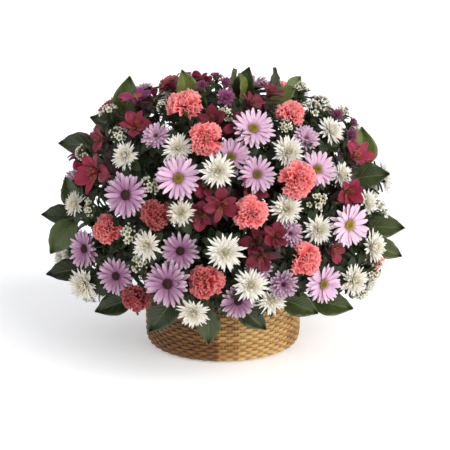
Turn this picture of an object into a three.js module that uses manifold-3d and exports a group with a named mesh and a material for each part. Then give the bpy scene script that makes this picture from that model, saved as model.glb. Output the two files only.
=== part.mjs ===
// Flower basket arrangement: a round wicker basket with a liner, a block of wet flower foam and
// sprays of cut flowers and leaves whose stems stand in the foam. Millimetres, +Z up. The origin
// is the middle of the basket's flat underside and the front of the arrangement faces -Y.

import * as THREE from 'three';
import { mergeVertices } from 'three/addons/utils/BufferGeometryUtils.js';
import Module from 'manifold-3d';

const wasm = await Module();
wasm.setup();

// ---------------------------------------------------------------- driving dimensions

const GAP = 0.4; // clearance between pieces that touch
const JOIN_TOLERANCE = 0.1; // edges shorter than this are closed up after a join
// the wall rounds out from the foot to the belly within a share of the height, then leans out
const BASKET = { foot: 104, belly: 116, mouth: 118, height: 112, wall: 5, floor: 5, round: 0.16 };
const WEAVE = { stakes: 34, rows: 8, relief: 0.9, sole: 2, inset: 6 };
const BORDER = { radius: 116, width: 5, height: 3.5, twists: 12, ripple: 0.8 };
const LINER = { radius: 107, footRadius: 96, wall: 1.5, top: 106 };
const FOAM = { radius: 76, sides: 16, top: 150, bevel: 6, hole: 3.2 };
const STEM = { radius: 2.1, thin: 1.7, joint: 1.2, spacing: 5, depth: 16, clearance: 1.2 };
const AIM = { low: 40, high: 118, below: 15, step: 0.5 }; // heights on the axis that the stems aim at
// the dome that the blooms lie on: a rounded box-like ball, a little flatter at the far side
const DOME = { centre: 140, radius: 240, farDepth: 154, above: 268, below: 70, power: 2.7 };
// where the arrangement is looked at from, for laying the blooms out by their front elevation
const EYE = { tilt: 14.5, distance: 2000, aim: new THREE.Vector3(3, 0, 178) };
const FACING = 0.45; // how far the blooms turn from the dome's normal to the viewer
// how far the repeated sprays are turned and tipped back, in degrees, and the air they seek
const AGAIN = { from: 60, to: 300, step: 5, tips: [0, 20, 40, 60, 80], air: 95 };
// how far the extra head of a repeated spray is moved from its last one, the air round it and
// the height under which it stays clear of the basket
const MORE = { tips: [-45, -30, -15, 0, 15, 30, 45], turns: [-30, -20, -10, 0, 10, 20, 30] };
const MORE_ROOM = { air: 2, low: 170, clear: 175 };
const TUCK = 0.6; // how far repeated heads stay under the front's outline, as a share of their radius
const KNEE = { depths: [26, 16, 38, 8, 52], straight: 0.55 }; // a stem's bend, from its head
// tries for the fork of a spray: its distance from the dome's centre, turn aside and lean up
const FORK = {
  reaches: [150, 135, 165, 122, 178],
  turns: [0, 0.08, -0.08, 0.17, -0.17, 0.26, -0.26],
  leans: [0, 0.1, 0.2],
  inner: 165,
  overRim: 22,
};
// what stems and leaves keep from the rim and from the foam: [out from the edge, up from it]
const KEEP = { stemRim: [8, 12], stemFoam: [5, 4], leafRim: [12, 14], leafFoam: [10, 8] };
const FAR_OFF = 160; // heads further than this from a stem aren't in its way
const SETTLE = { steps: 70, lastSteps: 25, pull: 0.04, reach: 34 };

// The planting plan in front elevation. Every row is one spray; every bloom on it is
// [across, up, width, lift], measured on the upright plane through the basket's axis, and lift
// is how far it stands out of the dome. The sides and the back repeat the rows marked again,
// each turned about the upright axis and tipped back to where it has the most room.
const PLAN = [
  { kind: 'carnation', heads: [[-55, 358, 50], [-23, 304, 46, 6]] },
  { kind: 'carnation', heads: [[100, 346, 42], [104, 244, 50, 14]], again: true },
  { kind: 'carnation', heads: [[37, 195, 46, 8], [-27, 89, 48], [120, 127, 46, 8]], again: true },
  { kind: 'carnation', heads: [[-100, 192, 42], [-170, 172, 44, 4], [-132, 65, 42]], again: true },
  { kind: 'daisy', heads: [[43, 319, 58, 6], [15, 283, 52], [47, 257, 50, -6]] },
  { kind: 'daisy', heads: [[-64, 248, 60, 6], [-137, 223, 62, 8], [-98, 312, 40]], again: true },
  { kind: 'daisy', heads: [[139, 263, 52], [122, 309, 38], [178, 180, 62, 10]], again: true },
  { kind: 'daisy', heads: [[-80, 89, 62, 8], [-66, 136, 52, -8], [23, 57, 48, -4]], again: true },
  { kind: 'daisy', heads: [[-207, 141, 55], [-161, 97, 52]] },
  { kind: 'daisy', heads: [[148, 87, 55, 4], [88, 84, 42], [103, 164, 38, -6], [54, 112, 38]],
    again: true },
  { kind: 'mum', heads: [[-143, 283, 42], [-66, 294, 44], [-7, 259, 48, 6]], again: true },
  { kind: 'mum', heads: [[-60, 198, 38], [-111, 149, 44, 4], [3, 138, 52, 8]], again: true },
  { kind: 'mum', heads: [[96, 289, 46], [157, 320, 44], [179, 251, 38]], again: true },
  { kind: 'mum', heads: [[94, 203, 46], [144, 170, 44], [214, 213, 38]], again: true },
  { kind: 'mum', heads: [[41, 89, 48, 6], [77, 61, 44, -6], [-43, 46, 46, 6]], again: true },
  { kind: 'mum', heads: [[-219, 210, 38], [-209, 86, 52]] },
  { kind: 'mum', heads: [[224, 144, 48], [196, 92, 46]] },
  { kind: 'lily', heads: [[-186, 257, 50, 6], [-181, 309, 30], [-129, 328, 40], [-125, 369, 40],
    [-100, 375, 20]] },
  { kind: 'lily', heads: [[-24, 238, 36], [-1, 210, 38, 4], [-34, 193, 34], [44, 232, 38, -8]],
    again: true },
  { kind: 'lily', heads: [[48, 150, 36], [74, 161, 34, 8], [56, 130, 34, 4], [167, 139, 38]] },
  { kind: 'lily', heads: [[181, 232, 36], [190, 282, 40, 6]], again: true },
  { kind: 'lily', heads: [[42, 363, 33], [70, 378, 33], [21, 331, 33], [-16, 334, 37]] },
  { kind: 'button', heads: [[-52, 400, 21], [-30, 387, 19], [-10, 400, 21], [6, 391, 22], [4, 369, 30]] },
  { kind: 'button', heads: [[167, 344, 22], [191, 331, 20], [188, 315, 22]] },
  { kind: 'wax', heads: [[-167, 350, 32], [-154, 315, 30], [-208, 288, 30]] },
  { kind: 'wax', heads: [[-107, 239, 30], [-198, 204, 30]] },
  { kind: 'wax', heads: [[-138, 166, 32], [-125, 120, 30], [-232, 56, 32]], again: true },
  { kind: 'wax', heads: [[5, 346, 24], [-90, 359, 22]] },
  { kind: 'wax', heads: [[133, 355, 36], [91, 328, 24], [140, 213, 32]], again: true },
  { kind: 'wax', heads: [[235, 204, 34], [228, 105, 38], [210, 68, 28]] },
];

// Large leaves: [across, up, length, angle of the tip in the elevation, distance to the front]
const LEAF_PLAN = [
  { heads: [[-214, 298, 55, 175, 10], [-172, 331, 48, 160, 50], [-139, 372, 62, 82, 30]],
    again: true },
  { heads: [[-228, 229, 48, 105, 40], [-246, 192, 48, 176, 20], [-238, 160, 62, 235, 40],
    [-238, 105, 54, 186, 40]] },
  { heads: [[-165, 51, 56, 198, 110], [-90, 38, 64, 232, 142], [-22, 20, 52, 268, 150]], again: true },
  { heads: [[42, 33, 54, 320, 150], [115, 50, 56, 338, 140], [165, 52, 60, 350, 115]], again: true },
  { heads: [[240, 173, 60, 358, 30], [245, 138, 48, 340, 20], [216, 250, 60, 8, 50],
    [206, 300, 60, 97, 40]] },
  { heads: [[-54, 388, 48, 105, 50], [33, 390, 48, 76, 60], [88, 371, 44, 35, 70]], again: true },
];

// How the heads of each kind stand on their stems: the neck is the distance from the plane of
// the petal tips down to the stem, the spread turns the heads of one spray away from each other.
const KINDS = {
  carnation: { name: 'carnation_spray', colour: 0xe2604f, roughness: 0.7, neck: 0.86, spread: 0.2 },
  daisy: { name: 'daisy_spray', colour: 0xc58fc6, roughness: 0.6, neck: 0.16, spread: 0.15 },
  mum: { name: 'white_mum_spray', colour: 0xefecdf, roughness: 0.6, neck: 0.3, spread: 0.15 },
  lily: { name: 'alstroemeria_stem', colour: 0x8f1f3f, roughness: 0.5, neck: 0.75, spread: 0.6 },
  button: { name: 'button_mum_spray', colour: 0x8a2f6f, roughness: 0.6, neck: 0.4, spread: 0.5 },
  wax: { name: 'waxflower_spray', colour: 0xd9dcc6, roughness: 0.6, neck: 0.5, spread: 0.6 },
  leaf: { name: 'salal_stem', colour: 0x2d5a2a, roughness: 0.4 },
};
// florets of one waxflower cluster: one straight on, the others beside it; shares of the
// cluster's radius, then the radius of a floret and the length of its cup
const WAX = { florets: 3, beside: 0.66, lift: 0.1, ahead: 0.45, radius: 5, more: 1.5, cup: 2, stalk: 0.9 };
// salal blade: [share of the half length, half width], its width and arch as shares of its length
const BLADE = { outline: [[-0.62, 0.34], [-0.05, 0.5], [0.55, 0.32]], width: 0.64, arch: 0.09 };
const KEEL = 1.6; // thickness of a blade at its midrib
const BLADE_NECK = 0.92; // where the stalk meets a blade, as a share of its half length
// the leaf on a flower stem, its share of the way up the first branch and the room it needs
const UNDER_LEAF = { length: 48, width: 26, arch: 3, outline: [[-0.55, 0.42], [0.3, 0.45]] };
const UNDER_PLACE = { share: 0.3, tries: 10, turn: 0.63, lean: 0.5, stalk: 3, room: 0.3, reach: 50 };

// ---------------------------------------------------------------- small tools

const vec = (x, y, z) => new THREE.Vector3(x, y, z);
const unit = (v) => v.clone().normalize();
const along = (a, b, t) => a.clone().lerp(b, t);
const UP = vec(0, 0, 1);
const ACROSS = vec(1, 0, 0);
const CENTRE = vec(0, 0, DOME.centre);

/** A repeatable draw between 0 and 1 for item i, of series k. */
function draw(i, k) {
  const s = Math.sin((i + 1) * 12.9898 + (k + 1) * 78.233) * 43758.5453;
  return s - Math.floor(s);
}

/** The axes of a head that faces along n, turned by spin about it. */
function headAxes(n, spin) {
  const side = unit(vec(-n.y, n.x, 1e-4));
  const up = vec(0, 0, 0).crossVectors(n, side);
  const x = side.clone().multiplyScalar(Math.cos(spin)).addScaledVector(up, Math.sin(spin));
  return { x: unit(x.addScaledVector(n, -x.dot(n))), z: n };
}

/** Shortest distance between the stretches ab and cd. */
function stretchGap([a, b], [c, d]) {
  const u = vec(0, 0, 0).subVectors(b, a);
  const v = vec(0, 0, 0).subVectors(d, c);
  const w = vec(0, 0, 0).subVectors(a, c);
  const [uu, uv, vv, uw, vw] = [u.dot(u), u.dot(v), v.dot(v), u.dot(w), v.dot(w)];
  const clamp = THREE.MathUtils.clamp;
  const det = uu * vv - uv * uv;
  let s = det > 1e-9 ? clamp((uv * vw - vv * uw) / det, 0, 1) : 0;
  const t = clamp((uv * s + vw) / Math.max(vv, 1e-9), 0, 1);
  s = clamp((uv * t - uw) / Math.max(uu, 1e-9), 0, 1);
  return w.addScaledVector(u, s).addScaledVector(v, -t).length();
}

// ---------------------------------------------------------------- the dome and the plan

/** Below 1 inside the dome, above 1 outside it. */
function domeField(p, farDepth = DOME.farDepth) {
  const depth = p.y > 0 ? farDepth : DOME.radius;
  const rise = p.z - DOME.centre;
  const level = Math.hypot(p.x / DOME.radius, p.y / depth) ** DOME.power;
  return level + (Math.abs(rise) / (rise > 0 ? DOME.above : DOME.below)) ** DOME.power;
}

function domeNormal(p) {
  const h = 0.5;
  const slope = (axis) => {
    const a = p.clone();
    const b = p.clone();
    a[axis] += h;
    b[axis] -= h;
    return domeField(a) - domeField(b);
  };
  return unit(vec(slope('x'), slope('y'), slope('z')));
}

const tilt = THREE.MathUtils.degToRad(EYE.tilt);
const eye = EYE.aim.clone().add(vec(0, -Math.cos(tilt), Math.sin(tilt)).multiplyScalar(EYE.distance));

/** The point in front elevation (across, up), moved along the line of sight to the front. */
function onSight(across, up, forward) {
  const target = vec(across, 0, up);
  const sight = vec(0, 0, 0).subVectors(target, eye);
  return target.addScaledVector(sight, -forward / sight.y);
}

/** The first point of the dome on the line of sight, or the nearest to it at the outline. */
function onDome(across, up) {
  let best = null;
  for (let forward = 300; forward > -100; forward -= 1) {
    const p = onSight(across, up, forward);
    const field = domeField(p);
    if (field < 1) return p;
    if (!best || field < best.field) best = { field, p };
  }
  let [inner, outer] = [0, 1];
  for (let i = 0; i < 30; i += 1) {
    const middle = (inner + outer) / 2;
    if (domeField(along(CENTRE, best.p, middle)) < 1) inner = middle;
    else outer = middle;
  }
  return along(CENTRE, best.p, inner);
}

function turned(v, angle) {
  return v.clone().applyAxisAngle(UP, angle);
}

/** Heads of one flower row of the plan, each with its centre, facing and radius. */
function flowerHeads(row) {
  const centres = row.heads.map(([across, up, , lift = 0]) => {
    const p = onDome(across, up);
    return p.addScaledVector(domeNormal(p), lift);
  });
  const middle = centres.reduce((sum, p) => sum.add(p), vec(0, 0, 0)).divideScalar(centres.length);
  return row.heads.map(([, , width], i) => {
    const p = centres[i];
    const facing = domeNormal(p).addScaledVector(unit(eye.clone().sub(p)), FACING);
    const away = vec(0, 0, 0).subVectors(p, middle);
    if (away.length() > 1) facing.addScaledVector(unit(away), KINDS[row.kind].spread);
    return { kind: row.kind, home: p, facing: unit(facing), radius: width / 2 };
  });
}

/** Heads of one leafy row, whose facing is the blade's upper side and tip its long axis. */
function leafHeads(row) {
  return row.heads.map(([across, up, length, angle, forward]) => {
    const home = onSight(across, up, forward);
    const a = THREE.MathUtils.degToRad(angle);
    const tip = unit(vec(Math.cos(a), -0.12, Math.sin(a)));
    const facing = unit(eye.clone().sub(home)).addScaledVector(UP, 0.35);
    facing.addScaledVector(tip, -facing.dot(tip));
    return { kind: 'leaf', home, facing: unit(facing), tip, radius: length / 2 };
  });
}

/** A head tipped by one angle about a level axis, then turned by another about the upright one,
    that keeps its level in the dome. */
function swungHead(head, axis, tip, turn, farDepth) {
  const [back, round] = [tip, turn].map(THREE.MathUtils.degToRad);
  const swing = (v) => turned(v.clone().applyAxisAngle(axis, back), round);
  const home = swing(head.home.clone().sub(CENTRE)).add(CENTRE);
  const level = domeField(head.home, farDepth) / domeField(home, farDepth);
  home.sub(CENTRE).multiplyScalar(level ** (1 / DOME.power)).add(CENTRE);
  const copy = { ...head, home, facing: swing(head.facing) };
  if (head.tip) copy.tip = swing(head.tip);
  return copy;
}

/** Lowers a head until the dome's front outline hides it from the eye, and gives it back. */
function tucked(head) {
  const { home, radius } = head;
  const side = Math.min(1, Math.abs(home.x) / DOME.radius) ** DOME.power;
  const top = DOME.centre + DOME.above * (1 - side) ** (1 / DOME.power);
  const slope = Math.tan(THREE.MathUtils.degToRad(EYE.tilt));
  home.z = Math.min(home.z, top - slope * home.y - TUCK * radius);
  return head;
}

/** Heads of a spray tipped back over the dome, then turned to the side or the back. */
function movedHeads(first, tip, turn) {
  return first.map((head) => {
    const copy = swungHead(head, ACROSS, -tip, turn, DOME.radius);
    const { home } = copy;
    const onRim = head.kind === 'leaf' && home.z < FOAM.top;
    if (home.y > 0 && !onRim) home.y *= DOME.farDepth / DOME.radius;
    return onRim ? copy : tucked(copy);
  });
}

/** Spots for one more head of a spray, each moved over the dome from one of its heads. */
function moreSpots(spray) {
  return spray.flatMap((head) => {
    const across = unit(vec(-head.home.y, head.home.x, 0));
    return MORE.tips.flatMap((tip) => MORE.turns.map(
      (turn) => tucked(swungHead(head, across, tip, turn, DOME.farDepth))));
  });
}

/** The spot for one more head with the most room, clear of the others and of the basket. */
function oneMore(spray, others) {
  let best = { crowd: Infinity };
  for (const head of moreSpots(spray)) {
    const { home, radius } = head;
    const near = others.some((b) => home.distanceTo(b.home) < radius + b.radius + MORE_ROOM.air);
    const low = home.z < MORE_ROOM.low && Math.hypot(home.x, home.y) < MORE_ROOM.clear;
    const crowd = near || low ? Infinity : crowding([head], others);
    if (crowd < best.crowd) best = { crowd, head };
  }
  return best.head;
}

/** How much a spray would crowd the heads already there. */
function crowding(spray, others) {
  let sum = 0;
  for (const a of spray) {
    for (const b of others) {
      sum += Math.max(0, a.radius + b.radius + AGAIN.air - a.home.distanceTo(b.home)) ** 2;
    }
  }
  return sum;
}

const sprays = [
  ...PLAN.map((row) => ({ ...row, heads: flowerHeads(row) })),
  ...LEAF_PLAN.map((row) => ({ ...row, kind: 'leaf', heads: leafHeads(row) })),
];
for (const { kind, heads: first } of sprays.filter((spray) => spray.again)) {
  const there = sprays.flatMap((spray) => spray.heads);
  let best = { crowd: Infinity };
  for (const tip of kind === 'leaf' ? [0] : AGAIN.tips) {
    for (let turn = AGAIN.from; turn <= AGAIN.to; turn += AGAIN.step) {
      const copy = movedHeads(first, tip, turn);
      const crowd = crowding(copy, there);
      if (crowd < best.crowd) best = { crowd, copy };
    }
  }
  sprays.push({ kind, heads: best.copy, repeated: true });
}
for (const spray of sprays.filter(({ repeated, kind }) => repeated && kind !== 'leaf')) {
  const more = oneMore(spray.heads, sprays.flatMap(({ heads: there }) => there));
  if (more) spray.heads.push(more);
}
const heads = sprays.flatMap((spray) => spray.heads);
heads.forEach((head, i) => {
  head.at = head.home.clone();
  Object.assign(head, headAxes(head.facing, draw(i, 1) * 2 * Math.PI));
  if (head.tip) head.x = head.tip;
  head.y = vec(0, 0, 0).crossVectors(head.z, head.x);
  head.seed = i;
});

// ---------------------------------------------------------------- settling the heads

/** Ring of balls of radius r at the given share of the head's radius. */
function ballRing(count, share, height, r) {
  return Array.from({ length: count }, (_, i) => {
    const a = (i * 2 * Math.PI) / count;
    return [Math.cos(a) * share, Math.sin(a) * share, height, r];
  });
}

// The room that each kind of head takes, as balls: [x, y, z, r] in shares of its radius.
const ROOM = {
  carnation: [[0, 0, -0.1, 0.62], [0, 0, -0.6, 0.3], ...ballRing(8, 0.72, 0.02, 0.28)],
  daisy: [[0, 0, 0.02, 0.3], ...ballRing(6, 0.5, 0.06, 0.2), ...ballRing(12, 0.86, 0.13, 0.16)],
  mum: [[0, 0, 0.12, 0.45], ...ballRing(6, 0.5, 0.08, 0.3), ...ballRing(10, 0.82, 0.05, 0.2)],
  lily: [[0, 0, -0.35, 0.38], ...ballRing(6, 0.45, -0.12, 0.3), ...ballRing(9, 0.8, 0, 0.22)],
  button: [[0, 0, -0.05, 0.9]],
  wax: [[0, 0, -0.1, 0.8]],
  leaf: [-0.75, -0.4, 0, 0.4, 0.75].flatMap((x) => [[x, -0.28, 0, 0.22], [x, 0.28, 0, 0.22]]),
};

for (const head of heads) {
  head.balls = ROOM[head.kind].map(([x, y, z, r]) => ({
    offset: vec(0, 0, 0)
      .addScaledVector(head.x, x * head.radius)
      .addScaledVector(head.y, y * head.radius)
      .addScaledVector(head.z, z * head.radius),
    r: r * head.radius,
  }));
}

/** How the first head must move to clear the second, by their deepest pair of balls. */
function pushOff(a, b) {
  const between = vec(0, 0, 0).subVectors(a.at, b.at);
  let deepest = 0;
  let push = null;
  for (const p of a.balls) {
    for (const q of b.balls) {
      const d = between.clone().add(p.offset).sub(q.offset);
      const distance = Math.max(d.length(), 1e-6);
      const depth = p.r + q.r + GAP - distance;
      if (depth > deepest) {
        deepest = depth;
        push = d.multiplyScalar(depth / distance);
      }
    }
  }
  return push;
}

const neighbours = [];
for (let i = 0; i < heads.length; i += 1) {
  for (let j = i + 1; j < heads.length; j += 1) {
    const reach = heads[i].radius + heads[j].radius + SETTLE.reach;
    if (heads[i].home.distanceTo(heads[j].home) < reach) neighbours.push([heads[i], heads[j]]);
  }
}
for (let step = 0; step < SETTLE.steps; step += 1) {
  for (const [a, b] of neighbours) {
    const push = pushOff(a, b);
    if (push) {
      a.at.addScaledVector(push, 0.5);
      b.at.addScaledVector(push, -0.5);
    }
  }
  if (step < SETTLE.steps - SETTLE.lastSteps) {
    for (const head of heads) head.at.lerp(head.home, SETTLE.pull);
  }
}

// ---------------------------------------------------------------- routing the stems

const placed = []; // stretches of every stem so far: { ends, radius, spray }

/** The stem's end under a head, a little inside it. */
function neckOf(head) {
  if (head.kind === 'leaf') return head.at.clone().addScaledVector(head.x, -BLADE_NECK * head.radius);
  return head.at.clone().addScaledVector(head.z, -KINDS[head.kind].neck * head.radius);
}

/** Room over the basket's rim and the foam at a point that keeps the given distances. */
function roomOver(p, [rimOut, rimUp], [foamOut, foamUp]) {
  const radius = Math.hypot(p.x, p.y);
  const rim = radius < BASKET.mouth + rimOut ? p.z - BASKET.height - rimUp : Infinity;
  const foam = radius < FOAM.radius + foamOut ? p.z - FOAM.top - foamUp : Infinity;
  return Math.min(rim, foam);
}

/** Room left round the stretch ends, to other sprays' stems, to heads and to the basket. */
function roomRound(ends, spray, own) {
  let room = Infinity;
  for (const other of placed) {
    if (other.spray !== spray) room = Math.min(room, stretchGap(ends, other.ends) - 2 * STEM.radius);
  }
  for (const head of heads) {
    if (head === own || head.at.distanceTo(along(...ends, 0.5)) > FAR_OFF) continue;
    for (const ball of head.balls) {
      const centre = head.at.clone().add(ball.offset);
      const gap = stretchGap(ends, [centre, centre]);
      room = Math.min(room, gap - ball.r - STEM.radius);
    }
  }
  for (let t = 0; t <= 1; t += 0.1) {
    room = Math.min(room, roomOver(along(...ends, t), KEEP.stemRim, KEEP.stemFoam));
  }
  return room;
}

/** The stretches from a fork to a head: out to a knee behind the head, then up its neck. */
function branch(fork, head, kneeDepth) {
  const neck = neckOf(head);
  const back = head.kind === 'leaf' ? head.x : head.z;
  if (!kneeDepth) return [[fork, neck]];
  const knee = neck.clone().addScaledVector(back, -kneeDepth);
  return [[fork, knee], [knee, neck]];
}

/** The branch with the most room, straight where the head faces away from the fork. */
function bestBranch(fork, head, spray) {
  let best = { room: -Infinity };
  const back = head.kind === 'leaf' ? head.x : head.z;
  const straight = unit(neckOf(head).sub(fork)).dot(back) > KNEE.straight;
  for (const depth of straight ? [0, ...KNEE.depths] : KNEE.depths) {
    const stretches = branch(fork, head, depth);
    const room = Math.min(...stretches.map((ends) => roomRound(ends, spray, head)));
    if (room > best.room) best = { room, stretches };
    if (best.room > STEM.clearance) break;
  }
  return best;
}

/** Where the stem enters the foam and where it ends, for a fork outside the foam. */
function rootOf(fork) {
  const heart = vec(0, 0, FOAM.top - AIM.below);
  const steep = Math.max(0, (fork.z - heart.z) / fork.distanceTo(heart));
  const target = vec(0, 0, THREE.MathUtils.lerp(AIM.high, AIM.low, steep));
  const dir = unit(target.sub(fork));
  const entry = fork.clone();
  while (Math.hypot(entry.x, entry.y) > FOAM.radius || entry.z > FOAM.top) {
    entry.addScaledVector(dir, AIM.step);
  }
  return { entry, end: entry.clone().addScaledVector(dir, STEM.depth) };
}

/** Forks to try for a spray whose heads lie in the given direction from the dome's centre. */
function forksToTry(dir) {
  return FORK.reaches.flatMap((reach) => FORK.turns.flatMap((turn) => FORK.leans.map((lean) => {
    const way = unit(turned(dir, turn).addScaledVector(UP, lean));
    const fork = CENTRE.clone().addScaledVector(way, reach);
    const inner = Math.hypot(fork.x, fork.y) < FORK.inner;
    if (inner) fork.z = Math.max(fork.z, BASKET.height + FORK.overRim);
    return fork;
  })));
}

/** The stretches of a spray's stems: fork, entry into the foam, end in it and the branches. */
function routeSpray(spray) {
  const middle = spray.heads.reduce((sum, head) => sum.add(head.at), vec(0, 0, 0));
  middle.divideScalar(spray.heads.length);
  const others = placed.filter((stretch) => stretch.spray !== spray);
  let best = { room: -Infinity };
  for (const fork of forksToTry(unit(middle.sub(CENTRE)))) {
    const { entry, end } = rootOf(fork);
    const gaps = others.map(({ ends }) => stretchGap([entry, end], ends) - 2 * FOAM.hole);
    const inFoam = Math.min(Infinity, ...gaps);
    if (inFoam < best.room) continue;
    const branches = spray.heads.map((head) => bestBranch(fork, head, spray));
    const main = Math.min(inFoam, stemRoom([fork, entry], spray));
    const room = Math.min(main, ...branches.map((b) => b.room));
    if (room > best.room) best = { room, fork, entry, end, branches };
    if (best.room > STEM.clearance) return best;
  }
  return best;
}

/** Like roomRound, for a main stem, which may pass just above the foam. */
function stemRoom(ends, spray) {
  const others = placed.filter((stretch) => stretch.spray !== spray);
  const gaps = others.map((stretch) => stretchGap(ends, stretch.ends) - 2 * STEM.radius);
  const outer = along(...ends, 0.8);
  const overWall = Math.hypot(outer.x, outer.y) > BASKET.mouth - 4 * BASKET.wall;
  const overRim = overWall ? outer.z - BASKET.height - KEEP.stemRim[0] : Infinity;
  return Math.min(overRim, ...gaps);
}

for (const spray of [...sprays].sort((a, b) => b.heads.length - a.heads.length)) {
  spray.route = routeSpray(spray);
  const { fork, entry, end, branches } = spray.route;
  placed.push({ ends: [fork, entry], spray }, { ends: [entry, end], spray });
  for (const b of branches) b.stretches.forEach((ends) => placed.push({ ends, spray }));
}

// ---------------------------------------------------------------- solids

function solidOf(geometry) {
  geometry.deleteAttribute('normal');
  geometry.deleteAttribute('uv');
  const merged = mergeVertices(geometry, 1e-4);
  const mesh = new wasm.Mesh({
    numProp: 3,
    vertProperties: new Float32Array(merged.attributes.position.array),
    triVerts: new Uint32Array(merged.index.array),
  });
  mesh.merge();
  return new wasm.Manifold(mesh);
}

function geometryOf(points, faces) {
  const geometry = new THREE.BufferGeometry();
  geometry.setAttribute('position', new THREE.Float32BufferAttribute(points.flat(), 3));
  geometry.setIndex(faces.flat());
  return geometry;
}

/** Closed solid through a stack of rings between two end points. Every ring runs the same way
    round, and its points are taken in step with the next ring's, whatever the two counts. */
function ringSolid(rings, low, high) {
  const points = [low, ...rings.flat(), high];
  const starts = rings.map((_, k) => 1 + rings.slice(0, k).flat().length);
  const top = points.length - 1;
  const faces = rings[0].map((_, i, ring) => [0, 1 + ((i + 1) % ring.length), 1 + i]);
  for (let k = 0; k + 1 < rings.length; k += 1) {
    const [m, n] = [rings[k].length, rings[k + 1].length];
    const shift = facingIndex(rings[k], rings[k + 1]);
    const lower = (i) => starts[k] + (i % m);
    const upper = (j) => starts[k + 1] + ((j + shift) % n);
    for (let i = 0, j = 0; i < m || j < n;) {
      if (j >= n || (i < m && (i + 0.5) * n < (j + 0.5) * m + 1e-6)) {
        faces.push([lower(i), lower(i + 1), upper(j)]);
        i += 1;
      } else {
        faces.push([lower(i), upper(j + 1), upper(j)]);
        j += 1;
      }
    }
  }
  const last = rings[rings.length - 1];
  const start = starts[rings.length - 1];
  last.forEach((_, i) => faces.push([top, start + i, start + ((i + 1) % last.length)]));
  return geometryOf(points, faces);
}

/** Middle point of a ring. */
function middleOf(ring) {
  return [0, 1, 2].map((axis) => ring.reduce((sum, p) => sum + p[axis], 0) / ring.length);
}

/** Which point of the next ring lies in the direction of the first point of this one. */
function facingIndex(ring, next) {
  const [from, to] = [middleOf(ring), middleOf(next)];
  const way = ring[0].map((v, axis) => v - from[axis]);
  const match = next.map((p) => {
    const out = p.map((v, axis) => v - to[axis]);
    return out.reduce((sum, v, axis) => sum + v * way[axis], 0) / Math.hypot(...out);
  });
  return match.indexOf(Math.max(...match));
}

/** Round ring of points at one height. */
function plainRing(count, radius, z, phase = 0) {
  return Array.from({ length: count }, (_, i) => {
    const a = ((i + phase) * 2 * Math.PI) / count;
    return [Math.cos(a) * radius, Math.sin(a) * radius, z];
  });
}

/** Outline of petals: each has a notch and one or two points at its tip. */
function petalRing(petals, tip, notch, blunt) {
  const points = [];
  const step = (2 * Math.PI) / petals;
  const add = (angle, [radius, z]) => points.push([Math.cos(angle) * radius, Math.sin(angle) * radius, z]);
  for (let i = 0; i < petals; i += 1) {
    add(i * step, notch);
    if (blunt) {
      add((i + 0.5 - blunt) * step, tip);
      add((i + 0.5 + blunt) * step, tip);
    } else {
      add((i + 0.5) * step, tip);
    }
  }
  return points;
}

// Every head as rings from its neck up, in its own axes, and the height of its middle point.
const HEAD_SHAPES = {
  // ruffled tiers above a calyx
  carnation: (r) => ({
    rings: [
      plainRing(3, 0.3 * r, -0.45 * r),
      petalRing(6, [r, 0.05 * r], [0.82 * r, -0.1 * r]),
      plainRing(6, 0.5 * r, 0.16 * r),
      petalRing(6, [0.76 * r, 0.36 * r], [0.62 * r, 0.24 * r]),
      petalRing(3, [0.44 * r, 0.56 * r], [0.36 * r, 0.42 * r]),
    ],
    middle: 0.44 * r,
  }),
  // one row of long blunt petals round a raised disc
  daisy: (r) => ({
    rings: [
      petalRing(9, [r, 0.16 * r], [0.62 * r, 0.06 * r], 0.24),
      plainRing(9, 0.24 * r, 0.14 * r),
    ],
    middle: 0.24 * r,
  }),
  // two rows of narrow petals round a tight centre
  mum: (r) => ({
    rings: [
      petalRing(7, [r, 0.02 * r], [0.72 * r, 0.02 * r]),
      plainRing(7, 0.3 * r, 0.14 * r),
      petalRing(7, [0.74 * r, 0.34 * r], [0.52 * r, 0.26 * r]),
    ],
    middle: 0.36 * r,
  }),
  // six wide petals that open from a funnel
  lily: (r) => ({
    rings: [petalRing(6, [r, 0.05 * r], [0.62 * r, -0.06 * r], 0.24)],
    middle: -0.4 * r,
  }),
  button: (r) => ({
    rings: [petalRing(6, [r, 0], [0.78 * r, 0]), plainRing(6, 0.55 * r, 0.4 * r)],
    middle: 0.4 * r,
  }),
  floret: (r) => ({
    rings: [plainRing(5, r, 0.2 * r)],
    middle: 0.05 * r,
  }),
};

/** The point at (x, y, z) of the axes at a place. */
function inAxes({ at, x, y, z }, [a, b, c]) {
  const p = at.clone().addScaledVector(x, a).addScaledVector(y, b).addScaledVector(z, c);
  return [p.x, p.y, p.z];
}

/** Three-sided rings along the stem points, square to the way through them and not twisted. */
function stemRings(points, radii) {
  let x = null;
  return points.map((p, k) => {
    const before = points[Math.max(k - 1, 0)];
    const after = points[Math.min(k + 1, points.length - 1)];
    const z = unit(after.clone().sub(before));
    x = x ? unit(x.addScaledVector(z, -x.dot(z))) : headAxes(z, 0).x;
    const axes = { at: p, x, y: vec(0, 0, 0).crossVectors(z, x), z };
    return plainRing(3, radii[k], 0).map((q) => inAxes(axes, q));
  });
}

/** Stem through the given points with a head's rings, or a blade's, on its end. */
function stalked(points, radii, rings, tip) {
  const stem = stemRings(points, radii);
  return solidOf(ringSolid([...stem, ...rings], middleOf(stem[0]), tip));
}

/** A head's rings and middle point in the arrangement. */
function headRings(shape, axes) {
  return {
    rings: shape.rings.map((ring) => ring.map((p) => inAxes(axes, p))),
    tip: inAxes(axes, [0, 0, shape.middle]),
  };
}

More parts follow.
